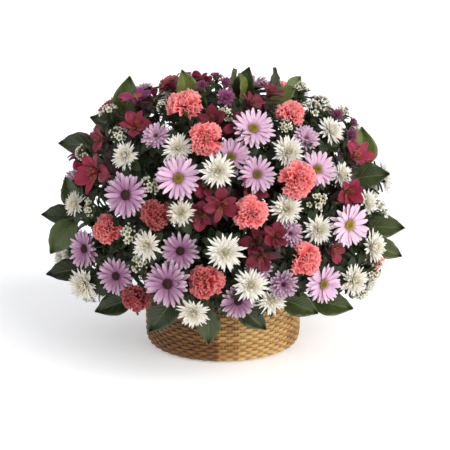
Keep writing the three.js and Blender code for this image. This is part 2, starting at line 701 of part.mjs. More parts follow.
/** Pointed oval blade, flat above and keeled below, arched along its length. */
function bladeRings({ length, width, arch, outline }, axes) {
  const section = (share, half) => {
    const rise = arch * (1 - share * share);
    const x = (share * length) / 2;
    return [[x, -half, rise], [x, 0, rise - KEEL], [x, half, rise]].map((p) => inAxes(axes, p));
  };
  return {
    rings: outline.map(([share, half]) => section(share, half * width)),
    tip: inAxes(axes, [length / 2, 0, 0]),
  };
}

/** Star florets that fan out from the end of a branch, one straight on and the rest beside it. */
function waxFlorets(head, points, radii) {
  const neck = points[points.length - 1];
  const florets = Array.from({ length: WAX.florets }, (_, i) => {
    const a = (i * 2 * Math.PI) / (WAX.florets - 1) + head.seed;
    const share = i ? WAX.beside : 0;
    const spot = [Math.cos(a) * share, Math.sin(a) * share, i ? WAX.lift : WAX.ahead];
    const [x, y, z] = inAxes(head, spot.map((v) => v * head.radius));
    const at = vec(x, y, z);
    const dir = unit(at.clone().sub(neck));
    const across = headAxes(dir, a).x;
    const axes = { at, x: across, y: vec(0, 0, 0).crossVectors(dir, across), z: dir };
    const radius = WAX.radius + WAX.more * draw(head.seed, i);
    return { ...headRings(HEAD_SHAPES.floret(radius), axes), at, dir };
  });
  return florets.map(({ rings, tip, at, dir }, i) => {
    const below = at.clone().addScaledVector(dir, -WAX.cup);
    if (!i) return stalked([...points, below], [...radii, WAX.stalk], rings, tip);
    const root = along(points[points.length - 2], neck, 1 - 0.1 * i);
    const [joint] = stemRings([root, below], [WAX.stalk, WAX.stalk]);
    return solidOf(ringSolid([joint, ...rings], middleOf(joint), tip));
  });
}

/** The solids of one head with its branch of the stem. */
function headSolids(head, points, radii) {
  if (head.kind === 'wax') return waxFlorets(head, points, radii);
  const length = 2 * head.radius;
  const { rings, tip } = head.kind === 'leaf'
    ? bladeRings({ ...BLADE, length, width: BLADE.width * length, arch: BLADE.arch * length }, head)
    : headRings(HEAD_SHAPES[head.kind](head.radius), head);
  return [stalked(points, radii, rings, tip)];
}

// ---------------------------------------------------------------- leaves under the blooms

const underLeaves = [];

/** A blade clear of every head and of other sprays' stems, on the main stem near the fork. */
function findUnderLeaf(spray) {
  const { fork, branches } = spray.route;
  const base = along(fork, branches[0].stretches[0][1], UNDER_PLACE.share);
  const out = unit(base.clone().sub(CENTRE));
  let best = { room: -Infinity };
  for (let k = 0; k < UNDER_PLACE.tries; k += 1) {
    const { x } = headAxes(out, k * UNDER_PLACE.turn);
    const tip = unit(x.addScaledVector(out, UNDER_PLACE.lean));
    const facing = unit(out.clone().addScaledVector(tip, -out.dot(tip)));
    const at = base.clone().addScaledVector(tip, UNDER_LEAF.length / 2 + UNDER_PLACE.stalk);
    const spots = bladeSpots(at, tip, facing);
    const room = Math.min(...spots.map((p) => spotRoom(p, spray)));
    if (room > best.room) best = { room, at, tip, facing, base, spots };
  }
  return best;
}

/** Spots spread over a blade, for measuring the room round it. */
function bladeSpots(at, tip, facing) {
  const side = vec(0, 0, 0).crossVectors(facing, tip);
  const { length, width } = UNDER_LEAF;
  const spots = [-0.6, -0.2, 0.2, 0.6].flatMap((x) => [[x, -0.35], [x, 0.35]]);
  return [...spots, [0.9, 0]].map(([x, y]) => at.clone()
    .addScaledVector(tip, (x * length) / 2).addScaledVector(side, y * width));
}

/** Room round one spot of a blade. */
function spotRoom(p, spray) {
  let room = roomOver(p, KEEP.leafRim, KEEP.leafFoam);
  for (const head of heads) {
    if (head.at.distanceTo(p) > UNDER_PLACE.reach) continue;
    for (const { offset, r } of head.balls) {
      room = Math.min(room, head.at.clone().add(offset).distanceTo(p) - r - 5);
    }
  }
  for (const other of placed) {
    if (other.spray !== spray) room = Math.min(room, stretchGap([p, p], other.ends) - STEM.radius - 6);
  }
  for (const leaf of underLeaves) {
    for (const q of leaf.spots) room = Math.min(room, q.distanceTo(p) - 10);
  }
  return room;
}

for (const spray of sprays) {
  spray.leaves = [];
  if (spray.kind === 'leaf') continue;
  const leaf = findUnderLeaf(spray);
  if (leaf.room < UNDER_PLACE.room) continue;
  underLeaves.push(leaf);
  spray.leaves.push(leaf);
}

// ---------------------------------------------------------------- the sprays

function union(parts) {
  return parts.reduce((whole, part) => whole.add(part));
}

/** Joins parts into one body, without the tiny edges and sealed specks that the joins leave. */
function fuse(parts) {
  const whole = union(parts).asOriginal().simplify(JOIN_TOLERANCE);
  return whole.decompose().sort((a, b) => b.volume() - a.volume())[0];
}

/** The main stem runs on into its first branch, and the other branches leave it at the fork. */
function spraySolid(spray) {
  const { fork, entry, end, branches } = spray.route;
  const parts = branches.flatMap(({ stretches }, i) => {
    const outer = stretches.map((ends) => ends[1]);
    const thin = outer.map(() => STEM.thin);
    const head = spray.heads[i];
    const joint = fork.clone().addScaledVector(unit(entry.clone().sub(fork)), i * STEM.spacing);
    if (i) return headSolids(head, [joint, ...outer], [STEM.joint, ...thin]);
    return headSolids(head, [end, fork, ...outer], [STEM.radius, STEM.radius, ...thin]);
  });
  for (const { at, tip, facing, base } of spray.leaves) {
    const axes = { at, x: tip, y: vec(0, 0, 0).crossVectors(facing, tip), z: facing };
    const blade = bladeRings(UNDER_LEAF, axes);
    parts.push(stalked([base, along(base, at, 0.1)], [STEM.joint, STEM.joint], blade.rings, blade.tip));
  }
  return fuse(parts);
}

// ---------------------------------------------------------------- basket, liner and foam

/** Wicker body: the outside steps in and out where the strands pass over and under the stakes. */
function basketGeometry() {
  const rings = [];
  const outerAt = (t) => {
    const low = Math.min(1, t / BASKET.round);
    const round = BASKET.foot + (BASKET.belly - BASKET.foot) * Math.sqrt(1 - (1 - low) ** 2);
    return round + (BASKET.mouth - BASKET.belly) * t;
  };
  rings.push(plainRing(WEAVE.stakes, BASKET.foot - WEAVE.inset, 0));
  for (let row = 0; row <= WEAVE.rows; row += 1) {
    const t = row / WEAVE.rows;
    const ring = plainRing(WEAVE.stakes, 1, WEAVE.sole + t * (BASKET.height - WEAVE.sole));
    rings.push(ring.map(([x, y, z], i) => {
      const over = (i + row) % 2 ? WEAVE.relief : -WEAVE.relief;
      const radius = outerAt(t) + (row === 0 || row === WEAVE.rows ? 0 : over);
      return [x * radius, y * radius, z];
    }));
  }
  const inner = (radius, z) => plainRing(WEAVE.stakes, radius, z);
  rings.push(inner(BASKET.mouth - BASKET.wall, BASKET.height));
  rings.push(inner(BASKET.belly - BASKET.wall - 1, BASKET.height * 0.25));
  rings.push(inner(BASKET.foot - BASKET.wall, BASKET.floor));
  return ringSolid(rings, [0, 0, 0], [0, 0, BASKET.floor]);
}

/** Rope-like border that closes the basket's mouth. */
function borderGeometry() {
  const section = [[1, -0.9], [1, 0.6], [0, 1], [-1, 0.5], [-1, -0.9]];
  const count = BORDER.twists * 2;
  const points = [];
  for (let i = 0; i < count; i += 1) {
    const a = (i * 2 * Math.PI) / count;
    const swell = 1 + (i % 2 ? BORDER.ripple : -BORDER.ripple) / BORDER.width;
    for (const [out, up] of section) {
      const radius = BORDER.radius + out * (BORDER.width / 2) * swell;
      const z = BASKET.height + GAP + BORDER.height * (0.9 + (up > 0 ? up * swell : up));
      points.push([Math.cos(a) * radius, Math.sin(a) * radius, z]);
    }
  }
  const n = section.length;
  const faces = [];
  for (let i = 0; i < count; i += 1) {
    for (let k = 0; k < n; k += 1) {
      const [a, b] = [i * n + k, i * n + ((k + 1) % n)];
      const [c, d] = [((i + 1) % count) * n + k, ((i + 1) % count) * n + ((k + 1) % n)];
      faces.push([a, c, d], [a, d, b]);
    }
  }
  return geometryOf(points, faces);
}

/** Plastic dish with a sloping side. */
function linerGeometry() {
  const { radius, footRadius, wall, top } = LINER;
  const floor = BASKET.floor + GAP;
  return ringSolid([
    plainRing(24, footRadius, floor),
    plainRing(24, radius, top),
    plainRing(24, radius - wall, top),
    plainRing(24, footRadius - wall, floor + wall),
  ], [0, 0, floor], [0, 0, floor + wall]);
}

/** Foam block with a plain hole round every stem. */
function foamSolid() {
  const bottom = BASKET.floor + 2 * GAP + LINER.wall;
  const block = solidOf(ringSolid([
    plainRing(FOAM.sides, FOAM.radius, bottom),
    plainRing(FOAM.sides, FOAM.radius, FOAM.top - FOAM.bevel),
    plainRing(FOAM.sides, FOAM.radius - FOAM.bevel, FOAM.top),
  ], [0, 0, bottom], [0, 0, FOAM.top]));
  const holes = sprays.map(({ route: { fork, entry, end } }) => {
    const dir = unit(entry.clone().sub(end));
    const mouth = along(entry, fork, 0.2);
    const rings = stemRings([end.clone().addScaledVector(dir, -1), mouth], [FOAM.hole, FOAM.hole]);
    return solidOf(ringSolid(rings, middleOf(rings[0]), middleOf(rings[1])));
  });
  return block.subtract(union(holes));
}

// ---------------------------------------------------------------- the arrangement

function meshFrom(solid, name, colour, roughness) {
  const { numProp, vertProperties, triVerts } = solid.getMesh();
  const geometry = new THREE.BufferGeometry();
  geometry.setAttribute('position', new THREE.BufferAttribute(vertProperties, numProp));
  geometry.setIndex(new THREE.BufferAttribute(triVerts, 1));
  const material = new THREE.MeshStandardMaterial({ color: colour, roughness, metalness: 0 });
  const mesh = new THREE.Mesh(geometry, material);
  mesh.name = name;
  return mesh;
}

const arrangement = new THREE.Group();
arrangement.add(
  meshFrom(solidOf(basketGeometry()), 'basket_body', 0xb98a4a, 0.6),
  meshFrom(solidOf(borderGeometry()), 'basket_border', 0xa87a3c, 0.6),
  meshFrom(solidOf(linerGeometry()), 'liner', 0x2f4a33, 0.4),
  meshFrom(foamSolid(), 'flower_foam', 0x3c6b45, 0.9),
);
const counts = {};
for (const spray of sprays) {
  const { name, colour, roughness } = KINDS[spray.kind];
  counts[name] = (counts[name] ?? 0) + 1;
  arrangement.add(meshFrom(spraySolid(spray), `${name}_${counts[name]}`, colour, roughness));
}

export default arrangement;
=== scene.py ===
"""Flower basket arrangement: a wicker basket with a liner and a foam block, filled with cut flowers.

Every bloom, leaf and stem is laid out in millimetres, by the values and rules that the solids were
made by. Meshes are made in metres, with +Z up and the front facing -Y.
"""

from __future__ import annotations

import logging
import math
from dataclasses import dataclass, field, replace
from enum import Enum, IntEnum
from typing import Callable, Iterable, Sequence

import bmesh
import bpy
import numpy as np
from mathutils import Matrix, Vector


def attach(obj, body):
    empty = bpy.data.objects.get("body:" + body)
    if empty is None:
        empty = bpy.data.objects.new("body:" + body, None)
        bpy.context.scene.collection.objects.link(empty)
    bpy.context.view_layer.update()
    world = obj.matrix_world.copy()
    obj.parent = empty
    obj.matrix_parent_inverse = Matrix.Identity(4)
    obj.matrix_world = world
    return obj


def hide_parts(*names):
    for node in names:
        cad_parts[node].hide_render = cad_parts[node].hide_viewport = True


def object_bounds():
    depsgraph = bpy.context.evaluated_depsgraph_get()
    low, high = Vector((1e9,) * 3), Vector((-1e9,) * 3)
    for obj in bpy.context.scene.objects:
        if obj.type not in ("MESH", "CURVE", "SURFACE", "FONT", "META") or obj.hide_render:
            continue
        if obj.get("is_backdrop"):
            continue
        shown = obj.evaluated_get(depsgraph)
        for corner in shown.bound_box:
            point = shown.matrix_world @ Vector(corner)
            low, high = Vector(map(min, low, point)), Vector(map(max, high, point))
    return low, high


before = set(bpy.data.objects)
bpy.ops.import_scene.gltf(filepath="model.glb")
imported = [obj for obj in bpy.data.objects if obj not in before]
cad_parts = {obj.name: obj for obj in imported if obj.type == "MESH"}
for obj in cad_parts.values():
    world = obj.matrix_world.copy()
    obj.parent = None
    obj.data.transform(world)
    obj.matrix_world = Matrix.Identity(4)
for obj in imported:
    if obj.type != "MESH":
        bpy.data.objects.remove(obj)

LOG = logging.getLogger("arrangement")
MM = 0.001
# Values that each point carries. On the wicker, tone also holds painted shade and light round the
# basket, and ring holds painted shade in the weave.
CARRIED = ("tone", "draw", "ring")
Array = np.ndarray
Numbers = Array | float


# ---- driving dimensions, as the solids

GAP = 0.4
UP = np.array([0.0, 0.0, 1.0])
ACROSS = np.array([1.0, 0.0, 0.0])


class Kind(Enum):
    """The kinds of flower and leaf, by the name of their nodes."""

    CARNATION = "carnation_spray"
    DAISY = "daisy_spray"
    MUM = "white_mum_spray"
    LILY = "alstroemeria_stem"
    BUTTON = "button_mum_spray"
    WAX = "waxflower_spray"
    LEAF = "salal_stem"


@dataclass(frozen=True)
class BasketSizes:
    """Sizes of the basket, its liner and its foam, in millimetres."""

    foot: float = 104.0
    belly: float = 116.0
    mouth: float = 118.0
    height: float = 112.0
    wall: float = 5.0
    floor: float = 5.0
    round: float = 0.16
    border_radius: float = 116.0
    liner_radius: float = 107.0
    liner_foot: float = 96.0
    liner_wall: float = 1.5
    liner_top: float = 106.0
    foam_radius: float = 76.0
    foam_top: float = 150.0
    foam_bevel: float = 6.0
    foam_hole: float = 3.2

    def outside(self, share: float) -> float:
        """Outer radius of the wall at a share of its height."""
        swell = (self.belly - self.foot) * math.sqrt(1 - (1 - min(1.0, share / self.round)) ** 2)
        return self.foot + swell + (self.mouth - self.belly) * share


@dataclass(frozen=True)
class StemSizes:
    """Radii of the stems, the way they stand in the foam and the room they keep."""

    radius: float = 2.1
    spacing: float = 5.0
    depth: float = 16.0
    clearance: float = 1.2
    samples: int = 10
    leaf_gaps: tuple[float, float, float] = (5, 6, 10)
    aim_low: float = 40.0
    aim_high: float = 118.0
    aim_below: float = 15.0
    aim_step: float = 0.5
    knees: tuple[float, ...] = (26, 16, 38, 8, 52)
    straight: float = 0.55
    far_off: float = 160.0
    rim: tuple[float, float] = (8, 12)
    foam: tuple[float, float] = (5, 4)
    leaf_rim: tuple[float, float] = (12, 14)
    leaf_foam: tuple[float, float] = (10, 8)


@dataclass(frozen=True)
class ForkTries:
    """The forks that are tried for a spray: distance out, turn aside and lean up."""

    reaches: tuple[float, ...] = (150, 135, 165, 122, 178)
    turns: tuple[float, ...] = (0, 0.08, -0.08, 0.17, -0.17, 0.26, -0.26)
    leans: tuple[float, ...] = (0, 0.1, 0.2)
    inner: float = 165.0
    over_rim: float = 22.0
    outer: float = 0.8
    walls: float = 4.0


@dataclass(frozen=True)
class UnderLeafSizes:
    """The leaf on a flower stem and how its place is looked for."""

    length: float = 48.0
    width: float = 26.0
    share: float = 0.3
    tries: int = 10
    turn: float = 0.63
    lean: float = 0.5
    stalk: float = 3.0
    room: float = 0.3
    reach: float = 50.0


BASKET = BasketSizes()
STEM = StemSizes()
FORK = ForkTries()
UNDER = UnderLeafSizes()
BLADE_WIDTH = 0.64
BLADE_NECK = 0.92
LEAF_AHEAD = 0.12
LEAF_UP = 0.35
FACING = 0.45
NECK = {Kind.CARNATION: 0.86, Kind.DAISY: 0.16, Kind.MUM: 0.3, Kind.LILY: 0.75,
        Kind.BUTTON: 0.4, Kind.WAX: 0.5}
SPREAD = {Kind.CARNATION: 0.2, Kind.DAISY: 0.15, Kind.MUM: 0.15, Kind.LILY: 0.6,
          Kind.BUTTON: 0.5, Kind.WAX: 0.6}

# One spray a row: whether the sides and back repeat it, and its blooms in front elevation as
# (across, up, width, lift, tone). The tone picks the bloom's colour among those of its kind, and is
# partly painted shade: blooms low down and on the left have darker tones.
PLAN: dict[Kind, list[tuple[bool, list[tuple[float, ...]]]]] = {
    Kind.CARNATION: [
        (False, [(-55, 358, 50, 0, 0.12), (-23, 304, 46, 6, 0.2)]),
        (True, [(100, 346, 42, 0, 0.08), (104, 244, 50, 14, 0.15)]),
        (True, [(37, 195, 46, 8, 0.12), (-27, 89, 48, 0, 0.55), (120, 127, 46, 8, 0.18)]),
        (True, [(-100, 192, 42, 0, 0.85), (-170, 172, 44, 4, 0.5), (-132, 65, 42, 0, 0.95)]),
    ],
    Kind.DAISY: [
        (False, [(43, 319, 58, 6, 0.25), (15, 283, 52, 0, 0.45), (47, 257, 50, -6, 0.5)]),
        (True, [(-64, 248, 60, 6, 0.4), (-137, 223, 62, 8, 0.8), (-98, 312, 40, 0, 0.6)]),
        (True, [(139, 263, 52, 0, 0.3), (122, 309, 38, 0, 0.5), (178, 180, 62, 10, 0.0)]),
        (True, [(-80, 89, 62, 8, 0.9), (-66, 136, 52, -8, 0.95), (23, 57, 48, -4, 1.0)]),
        (False, [(-207, 141, 55, 0, 0.85), (-161, 97, 52, 0, 0.9)]),
        (True, [(148, 87, 55, 4, 0.35), (88, 84, 42, 0, 0.95), (103, 164, 38, -6, 0.7),
                (54, 112, 38, 0, 0.8)]),
    ],
    Kind.MUM: [
        (True, [(-143, 283, 42, 0, 0.3), (-66, 294, 44, 0, 0.2), (-7, 259, 48, 6, 0.3)]),
        (True, [(-60, 198, 38, 0, 0.9), (-111, 149, 44, 4, 0.5), (3, 138, 52, 8, 0.2)]),
        (True, [(96, 289, 46, 0, 0.1), (157, 320, 44, 0, 0.1), (179, 251, 38, 0, 0.2)]),
        (True, [(94, 203, 46, 0, 0.3), (144, 170, 44, 0, 0.2), (214, 213, 38, 0, 0.2)]),
        (True, [(41, 89, 48, 6, 0.2), (77, 61, 44, -6, 0.4), (-43, 46, 46, 6, 0.3)]),
        (False, [(-219, 210, 38, 0, 0.5), (-209, 86, 52, 0, 0.5)]),
        (False, [(224, 144, 48, 0, 0.3), (196, 92, 46, 0, 0.6)]),
    ],
    Kind.LILY: [
        (False, [(-186, 257, 50, 6, 0.62), (-181, 309, 30, 0, 0.7), (-129, 328, 40, 0, 0.7),
                 (-125, 369, 40, 0, 0.0), (-100, 375, 20, 0, 0.9)]),
        (True, [(-24, 238, 36, 0, 0.8), (-1, 210, 38, 4, 0.85), (-34, 193, 34, 0, 0.8),
                (44, 232, 38, -8, 0.9)]),
        (False, [(48, 150, 36, 0, 0.9), (74, 161, 34, 8, 0.8), (56, 130, 34, 4, 0.95),
                 (167, 139, 38, 0, 0.55)]),
        (True, [(181, 232, 36, 0, 0.45), (190, 282, 40, 6, 0.3)]),
        (False, [(42, 363, 33, 0, 0.8), (70, 378, 33, 0, 0.9), (21, 331, 33, 0, 0.7),
                 (-16, 334, 37, 0, 0.95)]),
    ],
    Kind.BUTTON: [
        (False, [(-52, 400, 21, 0, 0.4), (-30, 387, 19, 0, 0.6), (-10, 400, 21, 0, 0.7),
                 (6, 391, 22, 0, 0.5), (4, 369, 30, 0, 0.2)]),
        (False, [(167, 344, 22, 0, 0.5), (191, 331, 20, 0, 0.6), (188, 315, 22, 0, 0.5)]),
    ],
    Kind.WAX: [
        (False, [(-167, 350, 32, 0, 0.2), (-154, 315, 30, 0, 0.6), (-208, 288, 30, 0, 0.8)]),
        (False, [(-107, 239, 30, 0, 0.5), (-198, 204, 30, 0, 0.8)]),
        (True, [(-138, 166, 32, 0, 0.7), (-125, 120, 30, 0, 0.7), (-232, 56, 32, 0, 0.4)]),
        (False, [(5, 346, 24, 0, 0.5), (-90, 359, 22, 0, 0.1)]),
        (True, [(133, 355, 36, 0, 0.5), (91, 328, 24, 0, 0.5), (140, 213, 32, 0, 0.6)]),
        (False, [(235, 204, 34, 0, 0.2), (228, 105, 38, 0, 0.5), (210, 68, 28, 0, 0.6)]),
    ],
}

# Leafy stems: whether they are repeated, and their leaves as (across, up, length, angle of the
# tip in the elevation, distance to the front, tone).
LEAF_PLAN: list[tuple[bool, list[tuple[float, ...]]]] = [
    (True, [(-214, 298, 55, 175, 10, 0.9), (-172, 331, 48, 160, 50, 0.95),
            (-139, 372, 62, 82, 30, 0.5)]),
    (False, [(-228, 229, 48, 105, 40, 0.6), (-246, 192, 48, 176, 20, 0.7), (-238, 160, 62, 235, 40, 0.5),
             (-238, 105, 54, 186, 40, 0.9)]),
    (True, [(-165, 51, 56, 198, 110, 0.8), (-90, 38, 64, 232, 142, 0.7), (-22, 20, 52, 268, 150, 0.5)]),
    (True, [(42, 33, 54, 320, 150, 0.7), (115, 50, 56, 338, 140, 0.5), (165, 52, 60, 350, 115, 0.5)]),
    (False, [(240, 173, 60, 358, 30, 0.5), (245, 138, 48, 340, 20, 0.5), (216, 250, 60, 8, 50, 0.6),
             (206, 300, 60, 97, 40, 0.1)]),
    (True, [(-54, 388, 48, 105, 50, 0.1), (33, 390, 48, 76, 60, 0.8), (88, 371, 44, 35, 70, 0.2)]),
]


# ---- small tools

def draw(item: int, series: int) -> float:
    """A repeatable draw between 0 and 1 for one item of a series."""
    s = math.sin((item + 1) * 12.9898 + (series + 1) * 78.233) * 43758.5453
    return s - math.floor(s)


def unit(v: Array) -> Array:
    """The vector at length 1."""
    return v / math.sqrt(float(v @ v))


def about(v: Array, axis: Array, angle: float) -> Array:
    """A vector turned by an angle about a unit axis."""
    c, s = math.cos(angle), math.sin(angle)
    return v * c + np.cross(axis, v) * s + axis * float(axis @ v) * (1 - c)


def square_axis(n: Array, spin: float) -> Array:
    """A unit vector square to n, turned by spin about it.

    Args:
        n: a unit vector.
        spin: angle about it, in radians.

    Returns:
        The vector.
    """
    side = unit(np.array([-n[1], n[0], 1e-4]))
    up = np.cross(n, side)
    x = side * math.cos(spin) + up * math.sin(spin)
    return unit(x - n * float(x @ n))


def stretch_gaps(a: Array, b: Array, c: Array, d: Array) -> Array:
    """Shortest distances from the stretch ab to each of the stretches cd.

    Args:
        a: one end of the stretch.
        b: its other end.
        c: first ends of the other stretches, one a row.
        d: their second ends.

    Returns:
        One distance for each row.
    """
    u, v, w = b - a, d - c, a - c
    uu, uv, vv = float(u @ u), v @ u, np.einsum("ij,ij->i", v, v)
    uw, vw = w @ u, np.einsum("ij,ij->i", v, w)
    det = uu * vv - uv * uv
    solid = det > 1e-9
    s = np.where(solid, np.clip((uv * vw - vv * uw) / np.where(solid, det, 1), 0, 1), 0)
    t = np.clip((uv * s + vw) / np.maximum(vv, 1e-9), 0, 1)
    s = np.clip((uv * t - uw) / max(uu, 1e-9), 0, 1)
    return np.linalg.norm(w + u * s[:, None] - v * t[:, None], axis=1)


# ---- the layout

@dataclass
class Head:
    """One bloom, cluster or leaf with its place, axes and the balls that stand for its room."""

    kind: Kind
    home: Array
    facing: Array
    radius: float
    tone: float
    tip: Array | None = None
    seed: int = 0
    at: Array | None = None
    axes: Array | None = None
    offsets: Array | None = None
    radii: Array | None = None

    @property
    def x(self) -> Array:
        """The way of a leaf's tip, or any way across a bloom."""
        return self.axes[:, 0]

    @property
    def z(self) -> Array:
        """The way that the head faces."""
        return self.axes[:, 2]

    def neck(self) -> Array:
        """The stem's end under the head."""
        share = BLADE_NECK if self.kind is Kind.LEAF else NECK[self.kind]
        return self.at - self.back() * share * self.radius

    def back(self) -> Array:
        """The way that the stem comes in from, reversed."""
        return self.x if self.kind is Kind.LEAF else self.z


@dataclass
class UnderLeaf:
    """A leaf on a flower stem."""

    room: float
    at: Array
    tip: Array
    facing: Array
    base: Array
    spots: Array


@dataclass
class Route:
    """The stems of one spray: fork, entry into the foam, end in it, and a branch for each head."""

    room: float
    fork: Array
    entry: Array
    end: Array
    branches: list[list[tuple[Array, Array]]]


@dataclass
class Spray:
    """One stem with its heads, which is one node of the solids."""

    kind: Kind
    heads: list[Head]
    again: bool = False
    repeated: bool = False
    node: str = ""
    route: Route | None = None
    leaves: list[UnderLeaf] = field(default_factory=list)


@dataclass(frozen=True)
class Dome:
    """The rounded form that the blooms lie on, and the eye that lays them out."""

    centre: float = 140.0
    radius: float = 240.0
    far_depth: float = 154.0
    above: float = 268.0
    below: float = 70.0
    power: float = 2.7
    search: tuple[int, int] = (300, -100)
    halvings: int = 30
    tilt: float = 14.5
    distance: float = 2000.0
    aim: tuple[float, float, float] = (3.0, 0.0, 178.0)

    @property
    def middle(self) -> Array:
        """The dome's centre."""
        return np.array([0.0, 0.0, self.centre])

    @property
    def eye(self) -> Array:
        """Where the arrangement is looked at from."""
        t = math.radians(self.tilt)
        return np.array(self.aim) + np.array([0, -math.cos(t), math.sin(t)]) * self.distance

    def level(self, p: Array, far_depth: float | None = None) -> float:
        """Below 1 inside the dome, above 1 outside it.

        Args:
            p: the point.
            far_depth: depth of the back half, or the dome's own.

        Returns:
            The level.
        """
        far = self.far_depth if far_depth is None else far_depth
        depth = far if p[1] > 0 else self.radius
        rise = p[2] - self.centre
        flat = math.hypot(p[0] / self.radius, p[1] / depth) ** self.power
        return flat + (abs(rise) / (self.above if rise > 0 else self.below)) ** self.power

    def normal(self, p: Array) -> Array:
        """The way out of the dome at a point."""
        steps = np.eye(3) * 0.5
        return unit(np.array([self.level(p + s) - self.level(p - s) for s in steps]))

    def on_sight(self, across: float, up: float, forward: float) -> Array:
        """A point of the front elevation, moved along the line of sight to the front.

        Args:
            across: place across the front view.
            up: place up the front view.
            forward: how far in front of the middle.

        Returns:
            The point.
        """
        target = np.array([across, 0.0, up])
        sight = target - self.eye
        return target + sight * (-forward / sight[1])

    def on_dome(self, across: float, up: float) -> Array:
        """The first point of the dome on a line of sight, or the nearest to it at the outline.

        Args:
            across: place across the front view.
            up: place up the front view.

        Returns:
            The point.
        """
        best, nearest = math.inf, np.zeros(3)
        for forward in range(*self.search, -1):
            p = self.on_sight(across, up, forward)
            value = self.level(p)
            if value < 1:
                return p
            if value < best:
                best, nearest = value, p
        inner, outer = 0.0, 1.0
        for _ in range(self.halvings):
            share = (inner + outer) / 2
            if self.level(self.middle + (nearest - self.middle) * share) < 1:
                inner = share
            else:
                outer = share
        return self.middle + (nearest - self.middle) * inner


@dataclass
class Layout:
    """Places every head, stem and under-leaf by the rules of the solids.

    Attributes:
        dome: the form that the blooms lie on.
        turn_from, turn_to, turn_step: turns that are tried for a repeated spray, in degrees.
        tips: how far it may be tipped back.
        air: distance within which heads crowd each other.
        tuck: how far repeated heads stay under the outline, as a share of their radius.
        more_tips, more_turns: the same for one more bloom of a spray.
        more_air: least gap round that bloom.
        more_low, more_clear: height and distance that keep it off the basket.
        steps, last_steps: rounds of settling, and how many at the end have no pull.
        pull: share of the way home that a head is pulled.
        reach: gap up to which two heads can ever touch.
        share: part of a push that each of two heads takes.
        sprays: the sprays so far.
        starts, ends, owners: stretches of stem so far, and the spray of each.
        ats: places of all heads.
        ball_centres, ball_radii, ball_heads: the balls of all heads, and the head of each.
    """

    dome: Dome = field(default_factory=Dome)
    turn_from: int = 60
    turn_to: int = 300
    turn_step: int = 5
    tips: tuple[int, ...] = (0, 20, 40, 60, 80)
    air: float = 95.0
    tuck: float = 0.6
    more_tips: tuple[int, ...] = (-45, -30, -15, 0, 15, 30, 45)
    more_turns: tuple[int, ...] = (-30, -20, -10, 0, 10, 20, 30)
    more_air: float = 2.0
    more_low: float = 170.0
    more_clear: float = 175.0
    steps: int = 70
    last_steps: int = 25
    pull: float = 0.04
    reach: float = 34.0
    share: float = 0.5
    sprays: list[Spray] = field(default_factory=list)
    starts: list[Array] = field(default_factory=list)
    ends: list[Array] = field(default_factory=list)
    owners: list[int] = field(default_factory=list)
    ats: Array | None = None
    ball_centres: Array | None = None
    ball_radii: Array | None = None
    ball_heads: Array | None = None

    def build(self) -> list[Spray]:
        """Runs the whole layout.

        Returns:
            The sprays in the order of the solids' nodes.
        """
        self.sprays = [Spray(kind, self.flower_heads(kind, row), again)
                       for kind, rows in PLAN.items() for again, row in rows]
        self.sprays += [Spray(Kind.LEAF, self.leaf_heads(row), again) for again, row in LEAF_PLAN]
        self.repeat()
        self.settle()
        self.route()
        self.place_under_leaves()
        counts: dict[Kind, int] = {}
        for spray in self.sprays:
            counts[spray.kind] = counts.get(spray.kind, 0) + 1
            spray.node = f"{spray.kind.value}_{counts[spray.kind]}"
        return self.sprays

    # ---- the heads of the plan

    def flower_heads(self, kind: Kind, row: Sequence[tuple[float, ...]]) -> list[Head]:
        """Heads of one flower row of the plan.

        Args:
            kind: the kind of head.
            row: across, up, width, lift and tone of each bloom.

        Returns:
            The heads.
        """
        centres = []
        for across, up, _, lift, _ in row:
            p = self.dome.on_dome(across, up)
            centres.append(p + self.dome.normal(p) * lift)
        middle = sum(centres) / len(centres)
        heads = []
        for p, (_, _, width, _, tone) in zip(centres, row):
            facing = self.dome.normal(p) + unit(self.dome.eye - p) * FACING
            away = p - middle
            if np.linalg.norm(away) > 1:
                facing = facing + unit(away) * SPREAD[kind]
            heads.append(Head(kind, p, unit(facing), width / 2, tone))
        return heads

    def leaf_heads(self, row: Sequence[tuple[float, ...]]) -> list[Head]:
        """Leaves of one leafy row of the plan.

        Args:
            row: across, up, length, angle, forward and tone of each leaf.

        Returns:
            The heads.
        """
        heads = []
        for across, up, length, angle, forward, tone in row:
            home = self.dome.on_sight(across, up, forward)
            a = math.radians(angle)
            tip = unit(np.array([math.cos(a), -LEAF_AHEAD, math.sin(a)]))
            facing = unit(self.dome.eye - home) + UP * LEAF_UP
            facing = facing - tip * float(facing @ tip)
            heads.append(Head(Kind.LEAF, home, unit(facing), length / 2, tone, tip))
        return heads

    def swung(self, head: Head, axis: Array, tip: float, turn: float, far_depth: float) -> Head:
        """A head tipped about a level axis, then turned about the upright one, level kept.

        Args:
            head: the head.
            axis: level axis that it tips about.
            tip: how far it tips, in degrees.
            turn: how far it turns.
            far_depth: depth of the back half of the dome.

        Returns:
            A new head.
        """
        back, round_ = math.radians(tip), math.radians(turn)

        def swing(v: Array) -> Array:
            """The vector tipped and turned."""
            return about(about(v, axis, back), UP, round_)

        middle = self.dome.middle
        home = swing(head.home - middle) + middle
        ratio = self.dome.level(head.home, far_depth) / self.dome.level(home, far_depth)
        home = (home - middle) * ratio ** (1 / self.dome.power) + middle
        tip_way = None if head.tip is None else swing(head.tip)
        return replace(head, home=home, facing=swing(head.facing), tip=tip_way)

    def tucked(self, head: Head) -> Head:
        """Lowers a head until the dome's front outline hides it from the eye.

        Args:
            head: the head.

        Returns:
            The same head.
        """
        dome, home = self.dome, head.home
        side = min(1.0, abs(home[0]) / dome.radius) ** dome.power
        top = dome.centre + dome.above * (1 - side) ** (1 / dome.power)
        slope = math.tan(math.radians(dome.tilt))
        home[2] = min(home[2], top - slope * home[1] - self.tuck * head.radius)
        return head

